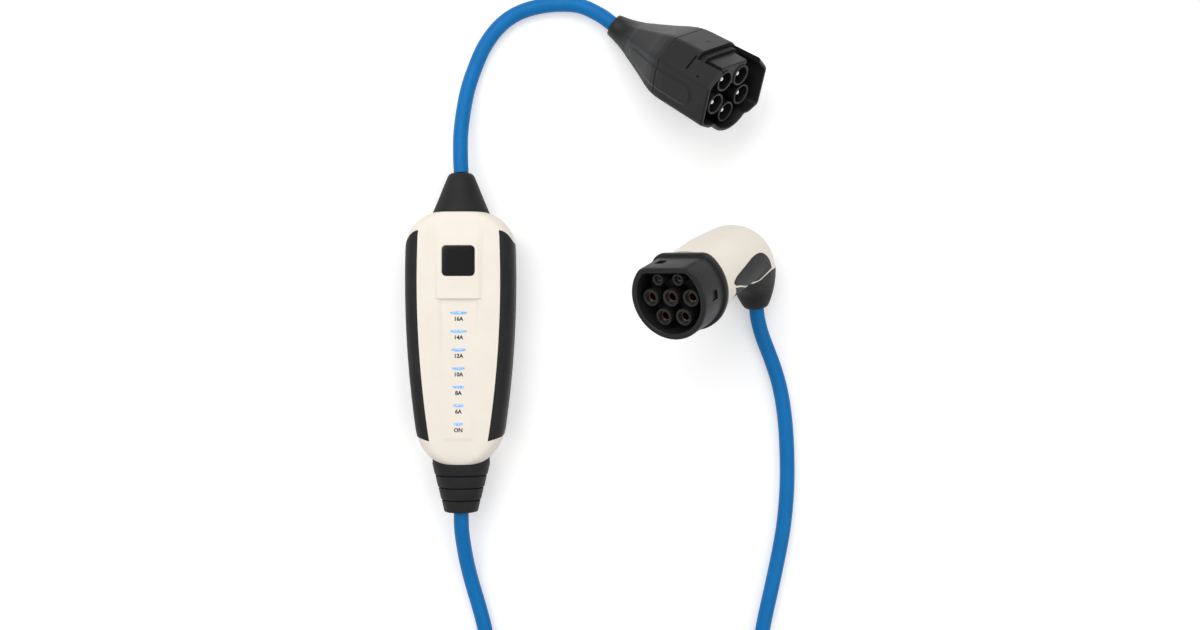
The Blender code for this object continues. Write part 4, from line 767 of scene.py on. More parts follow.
def gland(name, direction, stations, steps=64):
    """A ring of points for each station; direction is +1 at the supply end and -1 at the vehicle end."""
    distance, half_width, half_depth = (np.array(stations) * MM).T
    end = BODY_TOP if direction > 0 else -BODY_BOTTOM
    turn = np.linspace(0, 2 * np.pi, steps, endpoint=False)
    x = half_width[:, None] * np.cos(turn)
    z = HALF_DEPTH + half_depth[:, None] * np.sin(turn)
    y = np.repeat(direction * (end + distance)[:, None], steps, axis=1)
    return tube(name, np.stack([x, y, z], axis=-1))


def stepped_stations():
    """Ribs that each flare back out: the radius falls, and at its end it drops in under the next."""
    stations = [(-8, *VEHICLE_BASE), (0, *VEHICLE_BASE)]
    for k in range(VEHICLE_RIBS):
        for share, offsets in ((k / VEHICLE_RIBS, [RIB_START]), ((k + 1) / VEHICLE_RIBS, RIB_END)):
            cone = VEHICLE_BASE + (VEHICLE_TIP - VEHICLE_BASE) * share * RIB_TAPER
            stations += [(VEHICLE_LENGTH * share + past, *(cone + out)) for past, out in offsets]
    end = [(past, *(VEHICLE_TIP + out)) for past, out in ROUNDED_TIP] + list(CORD_HOLE)
    return stations[:-1] + [(VEHICLE_LENGTH + past, *size) for past, *size in end]


supply_gland = gland("supply_gland_cone", 1, SUPPLY_STATIONS)
dress(supply_gland, soft_black, "black_soft_grip", "supply_gland")
vehicle_gland = gland("vehicle_gland_ribs", -1, stepped_stations())
dress(vehicle_gland, soft_black, "black_soft_grip", "vehicle_gland")

# %% [markdown]
# The plug and the connector are built in frames of their own, with the axis along local +Z
# and the flat of the outline towards local +Y, as in the CAD. One matrix for each carries
# its pieces to the place where it lies on the floor. The outlines, blocks and smooth curves
# that both are drawn with are here too.

# %% Frames and outlines for the plug and the connector
def lying_frame(axis, flat, origin):
    """Local +Z goes to the axis, and local +Y as near as it can to the flat's direction."""
    z = Vector(axis).normalized()
    y = Vector(flat)
    y = (y - z * y.dot(z)).normalized()
    matrix = Matrix((y.cross(z), y, z)).transposed().to_4x4()
    matrix.translation = Vector(origin) * MM
    return matrix


PLUG_FRAME = lying_frame((0.703, -0.508, 0.498), (0.13, 0.80, 0.58), (126.626, 258.023, 5.277))
CONNECTOR_FRAME = lying_frame((-0.537, -0.326, 0.778), (-0.184, 0.924, 0.30), (177.5, 42.5, 104.848))


def soft_polygon(corners, reach, steps=5):
    """Each corner P becomes the parabola (1-t)^2 A + 2t(1-t) P + t^2 B, where A and B lie on its
    two edges, at reach from P or at 0.45 of the edge if that is less."""
    corners = np.array(corners)
    before = np.roll(corners, 1, axis=0) - corners
    after = np.roll(corners, -1, axis=0) - corners
    before_length = np.linalg.norm(before, axis=1, keepdims=True)
    after_length = np.linalg.norm(after, axis=1, keepdims=True)
    start = corners + before / before_length * np.minimum(reach, 0.45 * before_length)
    stop = corners + after / after_length * np.minimum(reach, 0.45 * after_length)
    t = np.linspace(0, 1, steps)[None, :, None]
    curve = (1 - t)**2 * start[:, None] + 2 * t * (1 - t) * corners[:, None] + t**2 * stop[:, None]
    return curve.reshape(-1, 2)


def column_places(outline, spacing):
    """Where the columns of a grid lie on an outline: a corner's number plus the share of its edge."""
    edge = np.linalg.norm(np.roll(outline, -1, axis=0) - outline, axis=1)
    counts = np.maximum(1, np.ceil(edge / spacing)).astype(int)
    return np.concatenate([i + np.arange(n) / n for i, n in enumerate(counts)])


def at_places(outline, places):
    """The outline's points there."""
    corner = places.astype(int)
    share = (places - corner)[:, None]
    return outline[corner] * (1 - share) + np.roll(outline, -1, axis=0)[corner] * share


def block(half_x, half_y, half_z, edge=0.0):
    """A box about the origin, its long edges and its rims softened by edge."""
    corners = np.array([(1, 1), (-1, 1), (-1, -1), (1, -1)]) * (half_x, half_y)
    full = soft_polygon(corners, max(edge, 1e-5), 4)
    if edge == 0:
        return tube("block", ring_stack([full, full], [-half_z, half_z]))
    small = soft_polygon(corners - np.sign(corners) * edge, edge, 4)
    heights = [-half_z, edge - half_z, half_z - edge, half_z]
    return tube("block", ring_stack([small, full, full, small], heights))


def smooth_interp(at, knots):
    """A cubic through the (place, value) knots, each slope that of the chord between the neighbours."""
    places, values = np.array(knots, float).T
    slope = np.gradient(values, places)
    i = np.clip(np.searchsorted(places, at, side="right") - 1, 0, len(places) - 2)
    width = places[i + 1] - places[i]
    t = np.clip((at - places[i]) / width, 0, 1)
    return ((2 * t**3 - 3 * t**2 + 1) * values[i] + (t**3 - 2 * t**2 + t) * width * slope[i]
            + (3 * t**2 - 2 * t**3) * values[i + 1] + (t**3 - t**2) * width * slope[i + 1])


print("plug at", [round(v, 3) for v in PLUG_FRAME.translation])

# %% [markdown]
# The plug is one long moulding. Its mouth has a flat top, slanted shoulders, upright sides
# and a round keel, and towards the cord this outline shrinks and turns into a circle. Each
# ring mixes the two: (1 - b) times the circle plus b times the outline, where b falls from
# 1 at the shoulder to 0 at the cord. Behind the shoulder a shallow pill stands out on both
# sides. Near the cord the middle line bends level, so the lead can lie on the floor.

# %% Plug: shroud and tail
PLUG_LENGTH, SEAM_LINE = 129.0, 75.0  # in mm, as all of the plug's distances from the cord
TAIL_RADIUS, TAIL_BEND = 9.2 * MM, 30.0
TAIL_LEAN = math.asin(PLUG_FRAME.col[2][2])
FLAT_END, SHOULDER_END = np.array([18, 31.5]) * MM, np.array([35.5, 16]) * MM
SIDE_END, KEEL_START = np.array([35.5, -16.5]) * MM, np.array([24, -22]) * MM
KEEL_RADIUS, KEEL_CENTRE, KEEL_HALF_TURN = 25 * MM, -5.5 * MM, 52
PLUG_EDGE, PLUG_SPACING = 2.6 * MM, 0.9 * MM
MIX_KNOTS = (  # distance from the cord, b
    (0, 0.0), (12, 0.13), (24, 0.29), (36, 0.46), (48, 0.64), (55, 0.75), (62, 0.86), (69, 0.945),
    (76, 0.99), (82, 1.0), (129, 1.0))
SCALE_KNOTS = ((0, 0.94), (55, 0.94), (129, 1.0))  # distance from the cord, size of the outline
PILL_HALF_HEIGHT, PILL_RISE, PILL_SOFTNESS = 8.5, 0.8 * MM, 1.6
PILL_START, PILL_STOP = 33, 113
SHROUD_START = ((0.15, -0.8), (0.3, -0.25))  # past the seam line, growth, in mm
SHROUD_LIP = (  # short of the plug's end, growth: over the lip and down the inside of the wall
    (0.9, -0.15), (0.35, -0.5), (0.0, -1.0), (0.0, -2.2), (0.4, -2.6), (1.2, -2.8), (20, -2.8), (47, -2.8))
TAIL_START = ((4.0, -2.9), (0.1, -2.8), (0.0, -1.1), (0.25, -0.4), (0.9, -0.05))  # from the cord, growth
NOTCH_TOOL, NOTCH_FLOOR, NOTCH_DEPTH = (23, 12, 22), 19, 26  # the tool's half sizes
SLIT_SETBACK, SLIT_SHARE, SLIT_SIZE = 28.2, 0.50, (6.5, 1.6, 0.85)
OVAL_SETBACK, OVAL_SHARE, OVAL_SIZE = 15.2, 0.17, (0.9, 1.3, 1.5, 0.6)
DIMPLE_SETBACK, DIMPLE_Y, DIMPLE_RADIUS, DIMPLE_DEPTH = 36, 31.2, 1.5, 0.9


def plug_corners(growth):
    """The mouth's outline, clockwise from the right end of its flat top."""
    sideways, upwards, corner = np.array([growth, 0]), np.array([0, growth]), growth * 0.4
    right = [FLAT_END + upwards + (corner, 0), SHOULDER_END + sideways + (0, corner),
             SIDE_END + sideways - (0, corner), KEEL_START - upwards + (corner, 0)]
    turn = np.radians(-90 + np.linspace(KEEL_HALF_TURN, -KEEL_HALF_TURN, 15))
    keel = np.column_stack([np.cos(turn), np.sin(turn)]) * (KEEL_RADIUS + growth) + (0, KEEL_CENTRE)
    return np.vstack([right, keel, np.array(right[::-1]) * (-1, 1)])


PLUG_OUTLINE = soft_polygon(plug_corners(0.0), PLUG_EDGE)
PLUG_COLUMNS = column_places(PLUG_OUTLINE, PLUG_SPACING)
ON_SIDE = smooth_step(np.abs(at_places(PLUG_OUTLINE, PLUG_COLUMNS)[:, 0]) - 34 * MM, 1.5 * MM)


def pill_rise(y, distance):
    """The pill is all points within its half height of a straight line: that distance makes the step."""
    middle, half = (PILL_START + PILL_STOP) / 2, (PILL_STOP - PILL_START) / 2 - PILL_HALF_HEIGHT
    gap = np.hypot(y / MM, max(0.0, abs(distance - middle) - half)) - PILL_HALF_HEIGHT
    return PILL_RISE * smooth_step(-gap, PILL_SOFTNESS)


def plug_rings(stations):
    """Rows of points of the plug's skin: one ring for each distance from the cord and growth, in mm."""
    distances = np.array([distance for distance, _ in stations])
    up = np.array(PLUG_FRAME.row[2][:2])
    up /= np.linalg.norm(up)
    mix, scale = (np.interp(distances, *np.array(knots).T) for knots in (MIX_KNOTS, SCALE_KNOTS))
    rings = []
    for (distance, growth), b, size in zip(stations, mix, scale):
        outline = at_places(soft_polygon(plug_corners(growth * MM), PLUG_EDGE), PLUG_COLUMNS)
        direction = outline / np.linalg.norm(outline, axis=1, keepdims=True)
        points = direction * (TAIL_RADIUS + growth * MM) * (1 - b) + outline * size * b
        if growth > -1:
            points[:, 0] += np.sign(outline[:, 0]) * pill_rise(outline[:, 1], distance) * ON_SIDE
        bend = max(0.0, 1 - distance / TAIL_BEND)
        along = distance * MM + math.sin(TAIL_LEAN * bend) * (points @ up)
        points += up * (TAIL_LEAN * bend**2 * TAIL_BEND / 2 * MM)
        rings.append(np.column_stack([points, along]))
    return np.stack(rings)


def shoulder_tool(share, setback, *size):
    """A block on the left shoulder, a share of the way from its lower to its upper edge and this far
    from the plug's end. Its local X goes along the facet and its local Y out of it."""
    lower, upper = SHOULDER_END * (-1, 1), FLAT_END * (-1, 1)
    along = Vector((*(upper - lower), 0)).normalized()
    out = Vector((-along.y, along.x, 0))
    basis = Matrix((along, out, along.cross(out))).transposed().to_4x4()
    distance = PLUG_LENGTH - setback
    middle = (lower + (upper - lower) * share) * np.interp(distance, *np.array(SCALE_KNOTS).T)
    return placed(block(*(np.array(size) * MM)), Matrix.Translation((*middle, distance * MM)) @ basis)


shroud_skin = [(distance, 0.0) for distance in np.linspace(SEAM_LINE + 0.8, PLUG_LENGTH - 1.6, 64)]
shroud_stations = ([(SEAM_LINE + past, growth) for past, growth in SHROUD_START] + shroud_skin
                   + [(PLUG_LENGTH - back, growth) for back, growth in SHROUD_LIP])
shroud = tube("plug_shroud", plug_rings(shroud_stations))
notch_place = Vector((0, NOTCH_FLOOR + NOTCH_TOOL[1], PLUG_LENGTH - NOTCH_DEPTH + NOTCH_TOOL[2])) * MM
notch = placed(block(*(np.array(NOTCH_TOOL) * MM)), Matrix.Translation(notch_place))
slit = shoulder_tool(SLIT_SHARE, SLIT_SETBACK, *SLIT_SIZE)
oval = shoulder_tool(OVAL_SHARE, OVAL_SETBACK, *OVAL_SIZE)
dimple = placed(cylinder(DIMPLE_RADIUS * MM, -DIMPLE_DEPTH * MM, 2 * MM),
                Matrix.Translation(Vector((0, DIMPLE_Y, PLUG_LENGTH - DIMPLE_SETBACK)) * MM)
                @ Matrix.Rotation(math.radians(-90), 4, "X"))
carved(shroud, notch, slit, oval, dimple)
dress(placed(shroud, PLUG_FRAME), charcoal, "black_plastic", "plug_shell", crease=30)

tail_skin = [(distance, 0.0) for distance in np.linspace(2, SEAM_LINE - 0.8, 80)]
tail_end = [(SEAM_LINE - past, growth) for past, growth in reversed(SHROUD_START)]
tail = tube("plug_tail", plug_rings([*TAIL_START, *tail_skin, *tail_end]))
dress(placed(tail, PLUG_FRAME), charcoal, "black_plastic", "plug_boot", crease=30)

# %% [markdown]
# Inside the mouth a block fills the shroud. Five round wells stand on it in a ring, each
# with a pale rim and a bright pin that ends below the rim, and a flat key block covers the
# two upper ones. Wells, rims and pins are lathe pieces: a profile of (radius, height) pairs
# carried round the well's own middle.

# %% Plug: contact block, wells and pins
WELL_RING, WELL_COUNT = 16.4 * MM, 5
WELL_OUTER, WELL_BORE = 8.7, 6.9  # radii in mm
PIN_RADIUS, SOCKET_OUTER, SOCKET_BORE = 2.5, 3.9, 2.8
WELL_FLOOR, BASE_TOP, CORE_FACE, PIN_TIP, SOCKET_TOP = (PLUG_LENGTH - back for back in (39, 21, 5, 8, 13.6))
BASE_STATIONS = ((PLUG_LENGTH - 49, -3.2), (BASE_TOP - 0.6, -3.2), (BASE_TOP, -3.8))  # distance, growth
KEY_BLOCK, KEY_BLOCK_EDGE = (15, 8.5, 10), 0.8  # half sizes and softened edge
KEY_BLOCK_Y, KEY_BLOCK_SETBACK = 16.5, 1  # above the plug's axis, and below the wells' face
BORE_CLEARANCE = 0.2
WELL_PROFILE = (  # radius and distance from the cord, in mm
    (WELL_OUTER, BASE_TOP - 1), (WELL_OUTER, CORE_FACE - 1.6), (WELL_BORE, CORE_FACE - 1.6),
    (WELL_BORE, WELL_FLOOR + 0.1), (WELL_BORE + 0.8, WELL_FLOOR + 0.1))
RIM_PROFILE = (
    (WELL_BORE + 0.05, CORE_FACE - 1.7), (WELL_OUTER + 0.05, CORE_FACE - 1.7),
    (WELL_OUTER + 0.05, CORE_FACE - 0.5), (WELL_OUTER - 0.4, CORE_FACE), (WELL_BORE + 0.5, CORE_FACE),
    (WELL_BORE, CORE_FACE - 0.5), (WELL_BORE, CORE_FACE - 1.6))
SOCKET_PROFILE = (
    (SOCKET_OUTER, WELL_FLOOR + 0.2), (SOCKET_OUTER, SOCKET_TOP - 0.4), (SOCKET_OUTER - 0.4, SOCKET_TOP),
    (SOCKET_BORE + 0.1, SOCKET_TOP), (SOCKET_BORE, SOCKET_TOP - 0.4), (SOCKET_BORE, WELL_FLOOR + 0.2))
PIN_PROFILE = (
    (PIN_RADIUS, WELL_FLOOR + 0.3), (PIN_RADIUS, PIN_TIP - 2.2), (2.3, PIN_TIP - 1.1),
    (1.8, PIN_TIP - 0.4), (1.1, PIN_TIP - 0.1), (0.4, PIN_TIP))

well_turns = np.radians(270 + 360 * np.arange(WELL_COUNT) / WELL_COUNT)
well_places = np.column_stack([np.cos(well_turns), np.sin(well_turns)]) * WELL_RING


def turned(make, profile, steps):
    """One turned piece in each well, made as a tube or a ring from a profile in mm."""
    return [make("turned", turned_rings(np.array(profile) * MM, steps, place)) for place in well_places]


def bored(piece):
    """The piece with the bores of all the wells cut out of it."""
    radius, low, high = (WELL_BORE + BORE_CLEARANCE) * MM, WELL_FLOOR * MM, PLUG_LENGTH * MM
    return carved(piece, *[cylinder(radius, low, high, place, 48) for place in well_places])


base = bored(tube("base", plug_rings(BASE_STATIONS)))
key_block = block(*(np.array([*KEY_BLOCK, KEY_BLOCK_EDGE]) * MM))
key_place = Vector((0, KEY_BLOCK_Y, CORE_FACE - KEY_BLOCK_SETBACK - KEY_BLOCK[2])) * MM
bored(placed(key_block, Matrix.Translation(key_place)))
contact_block = joined("plug_block", [base, key_block, *turned(ring, WELL_PROFILE, 48)])
dress(placed(contact_block, PLUG_FRAME), charcoal, "black_plastic", "plug_core", crease=30)

rims = joined("plug_well_rims", turned(ring, RIM_PROFILE, 48) + turned(ring, SOCKET_PROFILE, 32))
dress(placed(rims, PLUG_FRAME), grey_sleeve, "black_plastic", crease=30)
pins = joined("plug_pins", turned(tube, PIN_PROFILE, 32))
dress(placed(pins, PLUG_FRAME), bright_pin, "bright_pin", *[f"plug_pin_{k}" for k in range(1, 6)],
      crease=40)

# %% [markdown]
# The connector's face is a circle whose top is cut off flat, with round corners between.
# The collar is a stack of such outlines: out over the rim, along the outer wall, over the
# lip and back down inside to the plate that carries the contacts.

# %% Connector: collar, plate, sleeves and contacts
COLLAR_RADIUS, COLLAR_FLAT, COLLAR_CORNER = 31.6 * MM, 24.6 * MM, 10 * MM
COLLAR_STATIONS = (  # radius, flat and height, in mm
    (33.3, 26.3, -4.5), (33.8, 26.8, -4.2), (34.0, 27.0, -3.6), (34.0, 27.0, -1.2), (33.8, 26.8, -0.6),
    (33.2, 26.2, -0.1), (32.4, 25.4, 0.0), (31.9, 24.9, 0.2), (31.7, 24.7, 0.8), (31.6, 24.6, 3.0),
    (31.6, 24.6, 26.4), (31.4, 24.4, 27.2), (30.9, 23.9, 27.8), (30.2, 23.2, 28.0), (28.6, 21.6, 28.0),
    (27.8, 20.8, 27.8), (27.2, 20.2, 27.2), (27.0, 20.0, 26.2), (27.0, 20.0, -4.0))
PLATE_STATIONS = ((26.8, 19.8, -4.4), (26.8, 19.8, 6.6), (26.4, 19.4, 7.0))
LATCH_ANGLES, LATCH_SIZE, LATCH_HEIGHT = (112, -2, 182), (1.8, 3.6, 4.2), 13 * MM
PLATE_TOP, SLEEVE_TOP, CONTACT_TOP = 7, 24, 20  # heights in mm, as in the profiles below
SLEEVE_PITCH, SIGNAL_PLACE = 17.3 * MM, np.array([8.6, 14.2]) * MM
POWER_SIZE, SIGNAL_SIZE = (6.7, 4.3), (4.6, 2.6)  # outer and bore radius of a sleeve, in mm
CONTACT_WALL = 1.1


def d_outline(radius, flat):
    """Arcs of three circles that touch: the big one, and a corner circle where it meets the flat."""
    corner = COLLAR_CORNER - (COLLAR_RADIUS - radius)
    up = flat - corner
    across = math.sqrt((radius - corner)**2 - up**2)
    meet = math.atan2(up, across)
    around = np.linspace(math.pi - meet, 2 * math.pi + meet, 110)
    right = np.linspace(meet, math.pi / 2, 12)[1:]
    arcs = [np.column_stack([np.cos(around), np.sin(around)]) * radius,
            np.column_stack([np.cos(right), np.sin(right)]) * corner + (across, up)]
    return np.vstack(arcs + [arcs[1][::-1][:-1] * (-1, 1)])


def d_stack(name, stations):
    """A body whose rings are such outlines."""
    stations = np.array(stations) * MM
    return tube(name, ring_stack([d_outline(radius, flat) for radius, flat, _ in stations], stations[:, 2]))


def latch_tool(angle):
    """What cuts a latch pocket into the collar's wall at this angle, or into its flat."""
    direction = np.array([math.cos(angle), math.sin(angle)])
    on_flat = direction[1] > 0.5
    reach = COLLAR_FLAT / direction[1] if on_flat else COLLAR_RADIUS
    turn = Matrix.Rotation(math.pi / 2 if on_flat else angle, 4, "Z")
    place = Matrix.Translation((*(direction * reach), LATCH_HEIGHT))
    return placed(block(*(np.array(LATCH_SIZE) * MM)), place @ turn)


collar = carved(d_stack("connector_collar", COLLAR_STATIONS),
                *[latch_tool(angle) for angle in np.radians(LATCH_ANGLES)])
dress(placed(collar, CONNECTOR_FRAME), charcoal, "black_plastic", "collar", crease=30)
plate = d_stack("connector_plate", PLATE_STATIONS)
dress(placed(plate, CONNECTOR_FRAME), charcoal, "black_plastic", "contact_carrier", crease=30)


def sleeve_profile(outer, bore):
    """Up the outside, over a rounded end and down the bore."""
    return [(outer, PLATE_TOP - 0.2), (outer, SLEEVE_TOP - 0.9), (outer - 0.25, SLEEVE_TOP - 0.3),
            (outer - 0.9, SLEEVE_TOP), (bore + 0.5, SLEEVE_TOP), (bore + 0.1, SLEEVE_TOP - 0.4),
            (bore, SLEEVE_TOP - 0.9), (bore, PLATE_TOP + 0.3)]


def contact_profile(_, bore):
    """A round tube with an open, softly rounded mouth."""
    outer = bore - 0.3
    inner = outer - CONTACT_WALL
    return [(outer, PLATE_TOP + 0.4), (outer, CONTACT_TOP - 0.5), (outer - 0.25, CONTACT_TOP),
            (inner + 0.3, CONTACT_TOP), (inner, CONTACT_TOP - 0.5), (inner, PLATE_TOP + 2)]


def glint_band_profile(_, bore):
    """A thin bright metal band on the contact's open end; its pale colour is a painted highlight, the glint
    on the contact's rim.
    """
    outer, inner = bore - 0.35, bore - 0.9
    low, high = CONTACT_TOP - 0.6, CONTACT_TOP + 0.12
    return [(outer, low), (outer, high - 0.15), (outer - 0.15, high), (inner, high), (inner, low)]


def contact_set(name, make, profile, steps):
    """One turned piece for each of the seven contacts, all in one object."""
    row = SLEEVE_PITCH * math.sqrt(3) / 2
    power = [(x * SLEEVE_PITCH, y * row) for x, y in ((0, 0), (-1, 0), (1, 0), (-0.5, -1), (0.5, -1))]
    signal = [SIGNAL_PLACE * (side, 1) for side in (-1, 1)]
    sized = [(place, POWER_SIZE) for place in power] + [(place, SIGNAL_SIZE) for place in signal]
    pieces = [make("turned", turned_rings(np.array(profile(*size)) * MM, steps, place))
              for place, size in sized]
    return placed(joined(name, pieces), CONNECTOR_FRAME)


sleeves = contact_set("connector_sleeves", tube, sleeve_profile, 48)
dress(sleeves, grey_sleeve, "black_plastic", *[f"sleeve_{k}" for k in range(1, 8)], crease=35)
# A bright band at each contact's mouth: a painted highlight for the glint on the contact's rim.
glint_bands = contact_set("connector_contact_glint_bands", ring, glint_band_profile, 40)
dress(glint_bands, bright_pin, "bright_pin", crease=35)
contacts = contact_set("connector_contacts", tube, contact_profile, 40)
dress(contacts, copper, "copper_contact", "earth_contact", "signal_contact_1", "signal_contact_2",
      *[f"power_contact_{k}" for k in range(1, 5)], crease=35)

# %% [markdown]
# The handle is a round section carried along a line in its mirror plane: straight behind
# the rim, then an arc, then straight again to the cord. A point of its skin is named by how
# far along that line it lies and by its angle about the line, from 0 on the side to 90
# degrees on the inside of the elbow. The dark petals are drawn in those two numbers, so
# they follow the skin exactly. Along the inside of the elbow a step of the middle line
# covers less skin: its length there is 1 - r sin(angle) / R of the step.

# %% Connector: handle
ELBOW_RADIUS, ELBOW_TURN = 35 * MM, math.radians(95)
RIM_BACK, HANDLE_BACK, HANDLE_DROP = 4.5 * MM, 103 * MM, 50 * MM
FIRST_RUN = HANDLE_BACK - ELBOW_RADIUS - RIM_BACK
ARC_RUN = ELBOW_RADIUS * ELBOW_TURN
LAST_RUN = (HANDLE_DROP - ELBOW_RADIUS * (1 - math.cos(ELBOW_TURN))) / math.sin(ELBOW_TURN)
HANDLE_RUN = FIRST_RUN + ARC_RUN + LAST_RUN
HANDLE_RADII = (  # share of the way, radius in mm
    (0.0, 30.6), (0.12, 30.4), (0.28, 29.6), (0.42, 28.8), (0.55, 27.4), (0.67, 24.7), (0.78, 21.0),
    (0.90, 15.0), (0.965, 11.4), (1.0, 9.0))
BACK_FLAT = 0.09  # how much thinner it is on the outside, near the rim
INNER_SLIM = 0.20  # and on the inside of the elbow
FLAT_MIDDLE, FLAT_WIDTH = 0.16, 0.3  # shares of the way over which the outside gets its full radius
SLIM_START, SLIM_STOP = (16 * MM, 30 * MM), (92 * MM, 44 * MM)  # middle and width of the inside's steps
HANDLE_COVERED = 27 * MM  # how much of its end is inside the boot


def handle_radius(path):
    """The section's radius this far along the middle line."""
    return smooth_interp(path / HANDLE_RUN, HANDLE_RADII) * MM


def handle_point(path, angle, outset=0.0):
    """Skin points: path and angle are arrays that broadcast, outset is measured along the radius."""
    path, angle = np.broadcast_arrays(path, angle)
    turn = np.clip(path - FIRST_RUN, 0, ARC_RUN) / ELBOW_RADIUS
    beyond = np.clip(path - FIRST_RUN - ARC_RUN, 0, None)
    y = -ELBOW_RADIUS * (1 - np.cos(turn)) - beyond * np.sin(turn)
    z = -RIM_BACK - np.minimum(path, FIRST_RUN) - ELBOW_RADIUS * np.sin(turn) - beyond * np.cos(turn)
    radius = handle_radius(path) + outset
    across = -radius * np.sin(angle)
    flatten = BACK_FLAT * smooth_step(FLAT_MIDDLE * HANDLE_RUN - path, FLAT_WIDTH * HANDLE_RUN)
    slim = (INNER_SLIM * smooth_step(path - SLIM_START[0], SLIM_START[1])
            * smooth_step(SLIM_STOP[0] - path, SLIM_STOP[1]))
    across = np.where(across > 0, across * (1 - flatten), across * (1 - slim))
    return np.stack([radius * np.cos(angle), y + across * np.cos(turn), z - across * np.sin(turn)], axis=-1)


around = np.linspace(0, 2 * np.pi, 96, endpoint=False)
handle_path = np.linspace(0.2 * MM, HANDLE_RUN - HANDLE_COVERED, 110)
handle = tube("connector_handle", handle_point(handle_path[:, None], around))
dress(placed(handle, CONNECTOR_FRAME), cream, "cream_shell", "handle", crease=40)

# %% [markdown]
# A long dark petal lies on each side of the grip, and a thin cream line parts it from the
# black piece below: the boot, whose tongue runs up between the petals on the inside of the
# elbow. The petal's two edges and the boot's first ring are angles and paths on the skin,
# and the tongue takes the petals' lower edges plus the width of the line.

# %% Connector: petals and boot
LINE_WIDTH = 1.5 * MM  # of the pale line between petal and boot
LINE_KNOTS = (  # path, and the line's width above the tongue, in mm
    (17, 1.8), (44, 2.0), (52, 3.6), (60, 2.2), (92, 2.0))
BOOT_KNOTS = (  # angle, path in mm
    (-90, 104.5), (-45, 103.5), (-17, 102.2), (12, 93.8), (29, 90.2), (45, 89.0), (55, 86.0), (90, 80.0))
UPPER_KNOTS = (  # path in mm, angle of the petal's upper edge
    (15.0, 4.0), (17.5, 0.5), (21, -2.5), (27, -5), (36, -8), (44, -11), (53, -14), (60, -14),
    (66, -12), (72, -8), (78, -4), (84, 0), (91, 4.5))
LOWER_KNOTS = (  # and of its lower edge
    (15.0, 5.5), (17.5, 10), (26, 18), (34, 26), (52, 43), (62, 52), (72, 57), (80, 57), (86, 53),
    (91, 46))
PETAL_START, PETAL_STOP = UPPER_KNOTS[0][0], UPPER_KNOTS[-1][0]
TONGUE_START, TONGUE_STOP = 17.0, 92.0  # paths in mm
TONGUE_HOLLOW = 14.0  # how much later, in mm, it starts in its middle
PATCH_EDGE = np.array([0, 0.003, 0.008, 0.018])  # shares of a patch where its border is rolled
PATCH_ROLL = np.array([-0.5, -0.05, 0.18, 0.25]) * MM  # and how far out of the skin it stands there
PATCH_BACK = -1.0 * MM
PATCH_SHARES = both_ends(PATCH_EDGE, np.linspace(0.045, 0.955, 48))
START_RUN = np.array([0.0, 0.15, 0.6, 1.4]) * MM  # the boot's first rings, past its line
START_ROLL = np.array([-0.9, -0.1, 0.25, 0.35]) * MM
BOOT_RINGS = np.linspace(3, 22, 30) * MM  # its plain rings before they are stretched to its end
END_RUN = np.array([3.0, 1.6, 0.7, 0.1, 0.0, 0.0, 4.5]) * MM  # its last rings, short of the cord's exit
END_ROLL = np.array([0.35, 0.2, -0.3, -1.0, -1.8, -2.7, -2.9]) * MM
END_GAP = 1 * MM  # between the last plain ring and these


def boot_line(angle):
    """Where the boot starts: the same on both sides, so the angle is folded about the mirror plane."""
    return smooth_interp(np.degrees(np.arcsin(np.sin(angle))), BOOT_KNOTS) * MM


def patch_grids(path, angle):
    """The outer and the inner skin of a patch on the handle, its border rolled over."""
    roll = np.interp(np.minimum(PATCH_SHARES, 1 - PATCH_SHARES), PATCH_EDGE, PATCH_ROLL)
    outset = np.minimum(roll[:, None], roll)
    return handle_point(path, angle, outset), handle_point(path, angle, np.full_like(outset, PATCH_BACK))


def petal_grids(side):
    """Rows run from the tip to the pale line, columns from the upper to the lower edge."""
    share = PATCH_SHARES[:, None]
    level = PETAL_START + share * (PETAL_STOP - PETAL_START)
    upper, lower = smooth_interp(level, UPPER_KNOTS), smooth_interp(level, LOWER_KNOTS)
    angle = np.radians(upper + PATCH_SHARES * (lower - upper))
    skin_step = 1 - handle_radius(level * MM) * np.clip(np.sin(angle), 0, 1) / ELBOW_RADIUS
    end = boot_line(angle) - LINE_WIDTH / np.clip(skin_step, 0.3, 1)
    path = level * MM + (end - PETAL_STOP * MM) * share**3
    return patch_grids(path, angle if side > 0 else np.pi - angle)


def tongue_grids():
    """Rows run from the rim's side to the boot, columns from one petal's lower edge to the other's."""
    share = PATCH_SHARES[:, None]
    level = TONGUE_START + share * (TONGUE_STOP - TONGUE_START)
    line = smooth_interp(level, LINE_KNOTS) * MM / handle_radius(level * MM)
    lower = np.radians(smooth_interp(level, LOWER_KNOTS)) + line
    hollow = TONGUE_HOLLOW * (1 - (2 * PATCH_SHARES - 1)**2) * (1 - share)**2
    return patch_grids((level + hollow) * MM, lower + PATCH_SHARES * (math.pi - 2 * lower))


petals = joined("connector_petals", [slab("petal", *petal_grids(side)) for side in (-1, 1)])
dress(placed(petals, CONNECTOR_FRAME), soft_black, "black_soft_grip", "left_inlay", "right_inlay", crease=50)

boot_start = boot_line(around)
boot_along = np.concatenate([START_RUN, BOOT_RINGS])[:, None]
stretch = (HANDLE_RUN - END_RUN[0] - END_GAP - boot_start) / boot_along[-1]
boot_path = np.vstack([boot_start + boot_along * stretch,
                       np.repeat(HANDLE_RUN - END_RUN[:, None], len(around), axis=1)])
boot_roll = np.concatenate([START_ROLL, np.full(len(BOOT_RINGS), START_ROLL[-1]), END_ROLL])
boot = joined("connector_boot_skin", [tube("boot", handle_point(boot_path, around, boot_roll[:, None])),
                                      slab("tongue", *tongue_grids())])
dress(placed(boot, CONNECTOR_FRAME), soft_black, "black_soft_grip", "connector_boot", crease=35)

# %% [markdown]
# What is left of the CAD model shows only through gaps or not at all: the electronics, the
# seals and the screws. They still get a finish of their own.

